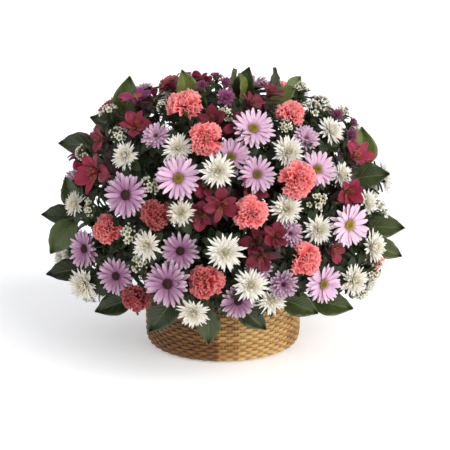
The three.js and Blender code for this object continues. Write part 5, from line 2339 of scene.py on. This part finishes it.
BLOOMS: dict[Kind, type[Bloom]] = {
    Kind.CARNATION: Carnation, Kind.DAISY: Daisy, Kind.MUM: Cushion, Kind.BUTTON: Button,
    Kind.LILY: Lily, Kind.WAX: Waxflower,
}


# ---- leaves, stems and sprays

@dataclass(frozen=True)
class Leafing:
    """Small leaves of one kind.

    Attributes:
        length: length of a leaf.
        width: its width as a share of the length.
        tilt: angle between leaf and stem.
        every: spacing along the stem.
        collar: half the number of leaves under a bloom.
        lobed: whether their edge is cut into lobes.
    """

    length: float
    width: float
    tilt: float
    every: float
    collar: int
    lobed: bool = False


LEAFING: dict[Kind, Leafing] = {
    Kind.CARNATION: Leafing(28, 0.19, 0.7, 5, 5), Kind.DAISY: Leafing(27, 0.58, 1.0, 6, 5, True),
    Kind.MUM: Leafing(27, 0.58, 1.0, 6, 5, True), Kind.LILY: Leafing(28, 0.32, 0.8, 5, 6),
    Kind.BUTTON: Leafing(18, 0.5, 0.9, 9, 3, True), Kind.WAX: Leafing(22, 0.3, 0.8, 2.5, 4),
    Kind.LEAF: Leafing(26, 0.56, 1.0, 9, 0),
}


@dataclass
class SprayMaker:
    """Makes the piece of each spray: stems, leaves and blooms in one object.

    Attributes:
        masters: the forms that are repeated.
        room: low and high corner of the space for leaves.
        slack: how far leaves may stand out of it.
        foot_clear: height and distance that keep small leaves off the basket's rim.
        longest: length that no leaf of a collar passes.
        drop: how much lower the second ring of a collar is.
        main_radii: radii along the stem of a spray's first head, from the foam up.
        side_radii: radii along the branches of the others.
    """

    masters: Masters
    room: tuple[Array, Array]
    slack: float = 4.0
    foot_clear: tuple[float, float] = (6.0, 12.0)
    longest: float = 30.0
    drop: float = 14.0
    main_radii: tuple[float, ...] = (2.1, 2.1, 2.0, 1.6)
    side_radii: tuple[float, ...] = (1.6, 1.7, 1.5)

    def leaf(self, master: Form, base: Array, tip: Array, facing: Array, length: float, width: float,
             droop: float, tone: float, chance: float) -> Form:
        """A leaf from its base along its tip's direction, facing up.

        Args:
            master: the flat leaf.
            base: where it starts.
            tip: unit direction to its tip.
            facing: unit direction of its upper side.
            length: its length.
            width: its width.
            droop: angle that it arches by, in radians.
            tone: its place among the finish's tones.
            chance: its own draw.

        Returns:
            The leaf.
        """
        points = bend_out(master, [0.0], 0.0, 0.0, length, width, droop / 2, -droop,
                          (chance - 0.5) * 0.3, (chance - 0.5) * 0.08)[0]
        form = replace(master, points=points).finished(Slot.FOLIAGE, tone, chance, 1.0)
        return form.placed(np.stack([tip, np.cross(facing, tip), facing], axis=1), base)

    def hung(self, way: Leafing, base: Array, tip: Array, axis: Array, length: float, droop: float,
             tone: float, chance: float) -> list[Form]:
        """A small leaf that turns its upper side along an axis.

        Args:
            way: what leaves of its kind are like.
            base: where it starts.
            tip: unit direction to its tip.
            axis: unit direction that it turns its upper side to.
            length: its length.
            droop: angle that it arches by, in radians.
            tone: its place among the finish's tones.
            chance: its own draw.

        Returns:
            The leaf, or nothing where it would leave the room.
        """
        master = self.masters.lobed if way.lobed else self.masters.leaflet
        facing = unit(axis - tip * float(axis @ tip))
        leaf = self.leaf(master, base, tip, facing, length, length * way.width, droop, tone, chance)
        low, high = self.room
        inside = np.all(leaf.points > low - self.slack) and np.all(leaf.points < high + self.slack)
        return [leaf] if inside else []

    def stem(self, path: Sequence[Array], radii: Sequence[float], tone: float, chance: float) -> Form:
        """A stem along a path, thicker at its foot."""
        return lay(self.masters.rod, rounded(path), radii).finished(Slot.STEM, tone, chance, 1.0)

    def small_leaves(self, way: Leafing, head: Head, path: Sequence[Array]) -> list[Form]:
        """Small leaves set in a spiral along a branch.

        Args:
            way: what leaves of their kind are like.
            head: the head that the branch carries.
            path: points along it.

        Returns:
            The leaves.
        """
        smooth = rounded(path)
        steps = np.linalg.norm(np.diff(smooth, axis=0), axis=1)
        places = np.concatenate([[0], np.cumsum(steps)])
        forms: list[Form] = []
        for k in range(max(int((places[-1] - 6) // way.every), 0)):
            chance = draw(head.seed * 31 + k, 5)
            place = places[-1] - 7 - (k + chance * 0.5) * way.every
            base, ahead = (np.array([np.interp(spot, places, smooth[:, axis]) for axis in range(3)])
                           for spot in (place, place + 2))
            low = base[2] < BASKET.height + self.foot_clear[0]
            if place < 4 or low and math.hypot(base[0], base[1]) < BASKET.mouth + self.foot_clear[1]:
                continue
            along = unit(ahead - base + 1e-6)
            side = square_axis(along, k * 2.4 + head.seed)
            tip = unit(side * math.sin(way.tilt) + along * math.cos(way.tilt))
            forms += self.hung(way, base, tip, along, way.length * (0.7 + 0.5 * chance),
                               0.5 + chance * 0.5, 0.35 + 0.6 * chance, chance)
        return forms

    def collar(self, way: Leafing, head: Head) -> list[Form]:
        """Leaves that spread out below a bloom and fill the space to the next one.

        Args:
            way: what leaves of their kind are like.
            head: the bloom.

        Returns:
            The leaves, in two rings.
        """
        forms: list[Form] = []
        for k in range(2 * way.collar):
            chance = draw(head.seed * 17 + k, 9)
            second = k >= way.collar
            spin = (k * 2 + second) * math.pi / way.collar + head.seed + chance * 0.6
            tip = unit(square_axis(head.z, spin) + head.z * (0.25 - 0.5 * chance))
            below = head.radius * NECK[head.kind] + 3 + 5 * chance + second * self.drop
            length = min(self.longest, way.length * 0.8 + head.radius * 0.4) * (0.8 + 0.3 * chance)
            forms += self.hung(way, head.at - head.z * below, tip, head.z, length, 0.3 + chance * 0.4,
                               0.45 + 0.55 * chance, chance)
        return forms

    def form(self, spray: Spray) -> Form:
        """Makes one spray.

        Args:
            spray: the spray.

        Returns:
            Its whole form.
        """
        forms: list[Form] = []
        route, way = spray.route, LEAFING[spray.kind]
        for i, (head, branch) in enumerate(zip(spray.heads, route.branches)):
            outer = [ends[1] for ends in branch]
            chance = draw(head.seed, 6)
            joint = route.fork + unit(route.entry - route.fork) * (i * STEM.spacing)
            if i:
                forms.append(self.stem([joint, *outer], self.side_radii, head.tone, chance))
            else:
                path = [route.end, route.entry, route.fork, *outer]
                forms.append(self.stem(path, self.main_radii, head.tone, chance))
                forms += self.small_leaves(way, head, [route.entry, route.fork])
            forms += self.small_leaves(way, head, [route.fork, *outer]) + self.collar(way, head)
            if spray.kind is Kind.LEAF:
                forms.append(self.big_leaf(head))
            else:
                rng = np.random.default_rng(1000 + head.seed)
                bloom = BLOOMS[spray.kind](self.masters, head.radius, head.tone, rng)
                forms += [part.placed(head.axes, head.at) for part in bloom.parts()]
        for leaf in spray.leaves:
            chance = draw(int(abs(leaf.at[0]) * 7), 8)
            base = leaf.at - leaf.tip * (UNDER.length / 2)
            forms.append(self.leaf(self.masters.lobed, base, leaf.tip, leaf.facing, UNDER.length * 0.98,
                                   UNDER.width, 0.5, 0.4 + chance * 0.5, chance))
            forms.append(self.stem([leaf.base, base + leaf.tip], (1.0, 0.8), 0.5, chance))
        return Form.joined(forms)

    def big_leaf(self, head: Head) -> Form:
        """One large leathery leaf, on the solids' blade.

        Args:
            head: the head.

        Returns:
            The leaf.
        """
        chance = draw(head.seed, 7)
        length, width = head.radius * (1 + BLADE_NECK), 2 * head.radius * BLADE_WIDTH * 1.02
        return self.leaf(self.masters.blade, head.neck(), head.x, head.z, length, width,
                         0.62 + 0.3 * chance, head.tone, chance)


# ---- basket, liner and foam

@dataclass
class Basket:
    """Round wicker basket woven from cane strands over and under upright stakes."""

    masters: Masters
    stakes: int = 76
    rows: int = 22
    flat: float = 1.4
    swing: float = 1.15
    sunk: float = 1.75
    stake: float = 1.1
    margin: float = 4.5
    lowest: float = 3.6
    base_rings: int = 15
    base_height: float = 3.0
    twists: int = 30
    twist_height: float = 116.0
    under_twist: tuple[float, float] = (115.6, 113.6)
    # painted shade and light round the basket: angles in degrees, and how dark the cane is painted there
    turns: tuple[float, ...] = (0, 90, 150, 266, 267, 281, 282, 322, 326, 360)
    ages: tuple[float, ...] = (0.4, 0.4, 1.0, 1.0, 0.45, 0.4, 0.06, 0.06, 0.4, 0.4)

    def side_shade(self, angle: Array | float) -> Array:
        """Painted shade and light on the cane round the basket: darkest on the left, lightest on the
        front right.
        """
        return np.interp(np.degrees(angle) % 360, self.turns, self.ages)

    @property
    def angle(self) -> Array:
        """Angle round the basket of every point of a strand."""
        return self.masters.strand.points[:, 2] * 2 * math.pi

    def hoop(self, radius: Array | float, height: Array | float, across: float, up: float, tone: float,
             chance: float, unshaded: Array | float) -> Form:
        """A closed strand round the basket.

        Args:
            radius: radius of its middle at every point, or all round.
            height: height of its middle.
            across: its half thickness outwards.
            up: its half thickness upwards.
            tone: its colour.
            chance: its own draw.
            unshaded: 1 where it lies in the open, lower where painted shade darkens it behind a stake or
                under the twist.

        Returns:
            The strand.
        """
        master, angle = self.masters.strand, self.angle
        out = radius + master.points[:, 0] * across
        top = height + master.points[:, 1] * up
        points = np.stack([np.cos(angle) * out, np.sin(angle) * out, top], axis=1)
        form = replace(master, points=points).finished(0, tone, chance, 1.0)
        # the strand's own tone, plus the painted shade and light of its side of the basket
        form.values[:, 0] = (tone - 0.4) * 0.5 + self.side_shade(angle)
        # painted shade: the third value darkens the strand where it lies behind something
        form.values[:, 2] = unshaded
        return form

    def weavers(self) -> list[Form]:
        """The strands that go round the wall, out over one stake and in behind the next.

        Returns:
            The strands from the foot up.
        """
        forms, angle = [], self.angle
        pitch = (BASKET.height - self.margin) / self.rows
        for row in range(self.rows):
            z = self.lowest + (row + 0.5) * pitch
            middle = BASKET.outside(z / BASKET.height) - self.sunk
            wave = np.cos(angle * self.stakes / 2 + (row % 2) * math.pi + draw(row, 11) * 0.2)
            sag = draw(row, 12) * 6
            # the last value is painted shade, darkest where the strand goes in behind a stake
            forms.append(self.hoop(
                middle + self.swing * np.sign(wave) * np.abs(wave) ** 0.75,
                z + 0.22 * np.sin(angle * 3 + sag) + 0.12 * np.sin(angle * 17 + sag * 2),
                self.flat, pitch * 0.57, 0.15 + 0.5 * draw(row, 13), draw(row, 14),
                0.5 + 0.5 * np.clip(wave * 1.6 + 0.4, -1, 1)))
        return forms

    def uprights(self) -> list[Form]:
        """The stakes of the wall.

        Returns:
            The stakes.
        """
        forms = []
        heights = np.linspace(2.0, BASKET.height + 1.5, 9)
        for k in range(self.stakes):
            a = 2 * math.pi * k / self.stakes
            outs = [BASKET.outside(min(z / BASKET.height, 1.0)) - self.sunk for z in heights]
            path = np.array([[math.cos(a) * out, math.sin(a) * out, z] for out, z in zip(outs, heights)])
            stake = lay(self.masters.twig, path, (self.stake, self.stake))
            # each stake is painted as dark as its side of the basket, and the 0.8 paints it darker as
            # shade behind the strands
            forms.append(stake.finished(0, float(self.side_shade(a)), draw(k, 15), 0.8))
        return forms

    def base(self) -> list[Form]:
        """The woven base with its radial ribs and the twisted foot.

        Returns:
            The ribs, the strands between them and the foot.
        """
        forms, angle = [], self.angle
        for k in range(self.stakes // 2):
            a = 4 * math.pi * k / self.stakes
            way = np.array([math.cos(a), math.sin(a), 0.0])
            path = np.array([way * out + UP * self.base_height for out in (6, 60, BASKET.foot - 2)])
            # the last values are painted shade: 0.7 for the ribs, 0.9 for the base strands, 0.85 for the
            # foot
            forms.append(lay(self.masters.twig, path, (1.3, 1.3)).finished(0, 0.5, draw(k, 16), 0.7))
        for ring in range(self.base_rings):
            middle = 10 + ring * (BASKET.foot - 16) / (self.base_rings - 1)
            height = self.base_height + 1.1 * np.cos(angle * self.stakes / 4 + (ring % 2) * math.pi)
            tone = 0.3 + 0.4 * draw(ring, 17)
            forms.append(self.hoop(middle, height, 3.1, 1.1, tone, draw(ring, 18), 0.9))
        for k in range(2):
            turn = angle * 40 + k * math.pi
            forms.append(self.hoop(BASKET.foot - 1.6 + 0.9 * np.cos(turn), 2.5 + 0.8 * np.sin(turn),
                                   1.7, 1.7, 0.45, draw(k, 19), 0.85))
        return forms

    def body(self) -> Form:
        """The wall and base as one form."""
        return Form.joined(self.weavers() + self.uprights() + self.base())

    def border(self) -> Form:
        """Three strands twisted together along the mouth, over a plain hoop.

        Returns:
            The border.
        """
        forms = []
        for k in range(3):
            turn = self.angle * self.twists + k * 2 * math.pi / 3
            out, up = BASKET.border_radius + 1.9 * np.cos(turn), self.twist_height + 1.7 * np.sin(turn)
            # the last value is painted shade on the lower side of each twisted strand
            forms.append(self.hoop(out, up, 1.75, 1.75, 0.35 + 0.15 * k, draw(k, 20),
                                   0.75 + 0.25 * np.sin(turn)))
        # the plain hoop under the twist is painted darker, 0.6, as shade
        forms.append(self.hoop(*self.under_twist, 2.2, 1.2, 0.6, 0.4, 0.6))
        return Form.joined(forms)


@dataclass(frozen=True)
class Liner:
    """Moulded dish inside the basket, with a rolled lip."""

    sides: int = 64
    rings: int = 8
    lip: float = 1.5
    lip_out: float = 1.012
    foot_ring: tuple[float, float] = (6.0, -0.3)
    soft: float = 0.6
    sharp: float = math.radians(50)

    def form(self) -> Form:
        """Models the dish.

        Returns:
            The dish.
        """
        floor, top = BASKET.floor + GAP, BASKET.liner_top
        tall = top - floor
        bench = Bench.drum(self.sides, 1.0, floor, tall, self.rings)
        slope = (BASKET.liner_radius - self.lip - BASKET.liner_foot) / self.rings
        bench.hoops([floor + tall * k / self.rings for k in range(self.rings + 1)],
                    [BASKET.liner_foot + slope * k for k in range(self.rings + 1)])
        bench.pick(lambda middle, normal: normal.z > 0.9, Part.FACE)
        bpy.ops.mesh.inset(thickness=BASKET.liner_wall, depth=0.0)
        down = (0.0, 0.0, BASKET.liner_wall - tall)
        bpy.ops.mesh.extrude_region_move(TRANSFORM_OT_translate={"value": down})
        share = (BASKET.liner_foot - BASKET.liner_wall) / (BASKET.liner_radius - 2 * self.lip)
        bench.size(x=share, y=share, centre=(0.0, 0.0, floor))
        bpy.ops.mesh.inset(thickness=self.foot_ring[0], depth=self.foot_ring[1])
        bench.pick(lambda middle, normal: normal.z > 0.9 and middle.z > top - 1, Part.FACE)
        bpy.ops.mesh.extrude_region_move(TRANSFORM_OT_translate={"value": (0.0, 0.0, 0.0)})
        bench.size(x=self.lip_out, y=self.lip_out, centre=(0.0, 0.0, top))
        bpy.ops.object.mode_set(mode="OBJECT")
        bpy.ops.object.modifier_add(type="BEVEL")
        soft = bench.obj.modifiers[-1]
        soft.width, soft.segments = self.soft, 2
        soft.limit_method, soft.angle_limit = "ANGLE", self.sharp
        bpy.ops.object.modifier_apply(modifier=soft.name)
        return bench.finish().finished(0)


@dataclass(frozen=True)
class Foam:
    """Wet block of foam in the liner, its top edge cut round."""

    sides: int = 40
    rings: int = 12
    top_rings: int = 5
    top_step: float = 12.0
    narrower: float = 0.96
    dent: float = 0.006

    def form(self) -> Form:
        """Models the block.

        Returns:
            The block.
        """
        edge, top = BASKET.foam_radius, BASKET.foam_top
        bottom = BASKET.floor + 2 * GAP + BASKET.liner_wall
        tall = top - bottom
        bench = Bench.drum(self.sides, edge, bottom, tall, self.rings)
        bench.pick(lambda middle, normal: normal.z > 0.9, Part.FACE)
        bpy.ops.mesh.inset(thickness=1.0, depth=0.0)
        for _ in range(self.top_rings):
            bpy.ops.mesh.inset(thickness=self.top_step, depth=0.0)
        for inside, share in ((0.4, 0.8), (2.0, 0.4)):
            bench.pick(lambda p, inside=inside: p.z > top - 0.5 and math.hypot(p.x, p.y) > edge - inside)
            bench.move(z=-BASKET.foam_bevel * share)
        bench.size(x=self.narrower, y=self.narrower, centre=(0.0, 0.0, top))
        form = bench.finish().finished(0)
        angle, height = np.arctan2(form.points[:, 1], form.points[:, 0]), form.points[:, 2]
        dent = 1 - self.dent * (1 + np.sin(angle * 9 + height * 0.21)) * (height > bottom + 1)
        form.points[:, :2] *= dent[:, None]
        return form


# ---- studio

@dataclass(frozen=True)
class Studio:
    """Camera, pale floor and soft lights."""

    elevation: float = 14.5
    distance: float = 2.0
    target: tuple[float, float, float] = (0.003, 0.0, 0.178)
    lens: float = 107.1
    floor_size: float = 24.0
    lit: tuple[float, float, float] = (0.0, 0.0, 0.2)
    sky: Colour = (0.52, 0.53, 0.55)

    def camera(self) -> None:
        """Sets up the camera in front, a little above the flowers."""
        lift = math.radians(self.elevation)
        data = bpy.data.cameras.new("camera")
        data.sensor_width, data.lens = 36.0, self.lens
        data.clip_start, data.clip_end = 0.05, 60.0
        camera = bpy.data.objects.new("camera", data)
        target = Vector(self.target)
        camera.location = target + Vector((0.0, -math.cos(lift), math.sin(lift))) * self.distance
        camera.rotation_euler = (target - camera.location).to_track_quat("-Z", "Y").to_euler()
        bpy.context.scene.collection.objects.link(camera)
        bpy.context.scene.camera = camera

    def floor(self) -> bpy.types.Object:
        """Lays the floor.

        Returns:
            The floor.
        """
        bpy.ops.object.select_all(action="DESELECT")
        bpy.ops.mesh.primitive_plane_add(size=self.floor_size, location=(0.0, 0.0, 0.0))
        floor = bpy.context.active_object
        floor.name = "floor"
        floor.data.materials.append(FloorFinish().material())
        return floor

    def light(self, name: str, kind: str, place: tuple[float, float, float], size: float, power: float,
              colour: Colour) -> None:
        """Hangs one soft light that faces the flowers.

        Args:
            name: its name.
            kind: SUN for light from far away, AREA for a square lamp.
            place: where it hangs.
            size: width of a lamp, or the angle in radians that far light comes from.
            power: its strength.
            colour: its colour.
        """
        data = bpy.data.lights.new(name, kind)
        data.energy, data.color = power, colour
        if kind == "SUN":
            data.angle = size
        else:
            data.shape, data.size = "SQUARE", size
        lamp = bpy.data.objects.new(name, data)
        lamp.location = place
        way = Vector(self.lit) - Vector(place)
        lamp.rotation_euler = way.to_track_quat("-Z", "Y").to_euler()
        bpy.context.scene.collection.objects.link(lamp)

    def lights(self) -> None:
        """Hangs the lights and sets the pale surroundings."""
        self.light("key", "SUN", (1.6, -1.5, 1.5), 0.8, 2.5, (1.0, 0.975, 0.94))
        self.light("fill", "AREA", (-1.9, -1.6, 1.0), 1.6, 5.0, (0.94, 0.96, 1.0))
        world = bpy.data.worlds.new("surroundings")
        world.use_nodes = True
        tree = world.node_tree
        back = tree.nodes["Background"]
        place, parts = tree.nodes.new("ShaderNodeTexCoord"), tree.nodes.new("ShaderNodeSeparateXYZ")
        band = tree.nodes.new("ShaderNodeValToRGB")
        low, high = band.color_ramp.elements
        low.position, low.color = 0.08, (1.0, 1.0, 1.0, 1.0)
        high.position, high.color = 0.2, (*self.sky, 1.0)
        for start, end in ((place.outputs["Generated"], parts.inputs[0]),
                           (parts.outputs["Z"], band.inputs[0]),
                           (band.outputs[0], back.inputs["Color"])):
            tree.links.new(start, end)
        bpy.context.scene.world = world
        bpy.context.scene.view_settings.view_transform = "Standard"


# ---- the arrangement

@dataclass
class Arrangement:
    """The whole object: basket, liner, foam and every spray, each piece in the place of its node."""

    masters: Masters = field(default_factory=Masters.modelled)

    def dress(self, form: Form, node: str, finishes: Sequence[bpy.types.Material]) -> None:
        """Makes a piece from its form, sets it on the body and hides the node it stands for.

        Args:
            form: the piece's form.
            node: name of its node.
            finishes: its materials.
        """
        piece = form.to_object(f"{node}_piece", finishes)
        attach(piece, "root")
        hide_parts(node)
        LOG.info("%s: %d faces", piece.name, len(form.sizes))

    def container(self) -> None:
        """Makes the basket, its border, the liner and the foam."""
        wicker = WickerFinish().material()
        basket = Basket(self.masters)
        self.dress(basket.body(), "basket_body", [wicker])
        self.dress(basket.border(), "basket_border", [wicker])
        self.dress(Liner().form(), "liner", [LinerFinish().material()])
        self.dress(Foam().form(), "flower_foam", [FoamFinish().material()])

    def flowers(self, room: tuple[Array, Array]) -> None:
        """Makes every spray.

        Args:
            room: low and high corner of the space for leaves.
        """
        stem, foliage = StemFinish().material(), FOLIAGE.material()
        leaves = {Kind.LEAF: SALAL.material(), Kind.LILY: WINE_FOLIAGE.material()}
        petals = {kind: finish.material() for kind, finish in PETALS.items()}
        hearts = {kind: finish.material() for kind, finish in HEARTS.items()}
        maker = SprayMaker(self.masters, room)
        for spray in Layout().build():
            self.dress(maker.form(spray), spray.node,
                       [petals[spray.kind], hearts[spray.kind], stem, leaves.get(spray.kind, foliage)])


def main() -> None:
    """Builds the scene."""
    logging.basicConfig(level=logging.INFO, format="%(name)s %(message)s")
    solids = [[float(v) for v in corner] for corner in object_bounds()]
    room = (np.array(solids[0]) / MM, np.array(solids[1]) / MM)
    studio = Studio()
    studio.camera()
    studio.lights()
    studio.floor()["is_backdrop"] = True
    arrangement = Arrangement()
    arrangement.container()
    arrangement.flowers(room)
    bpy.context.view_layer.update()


if __name__ == "__main__":
    main()
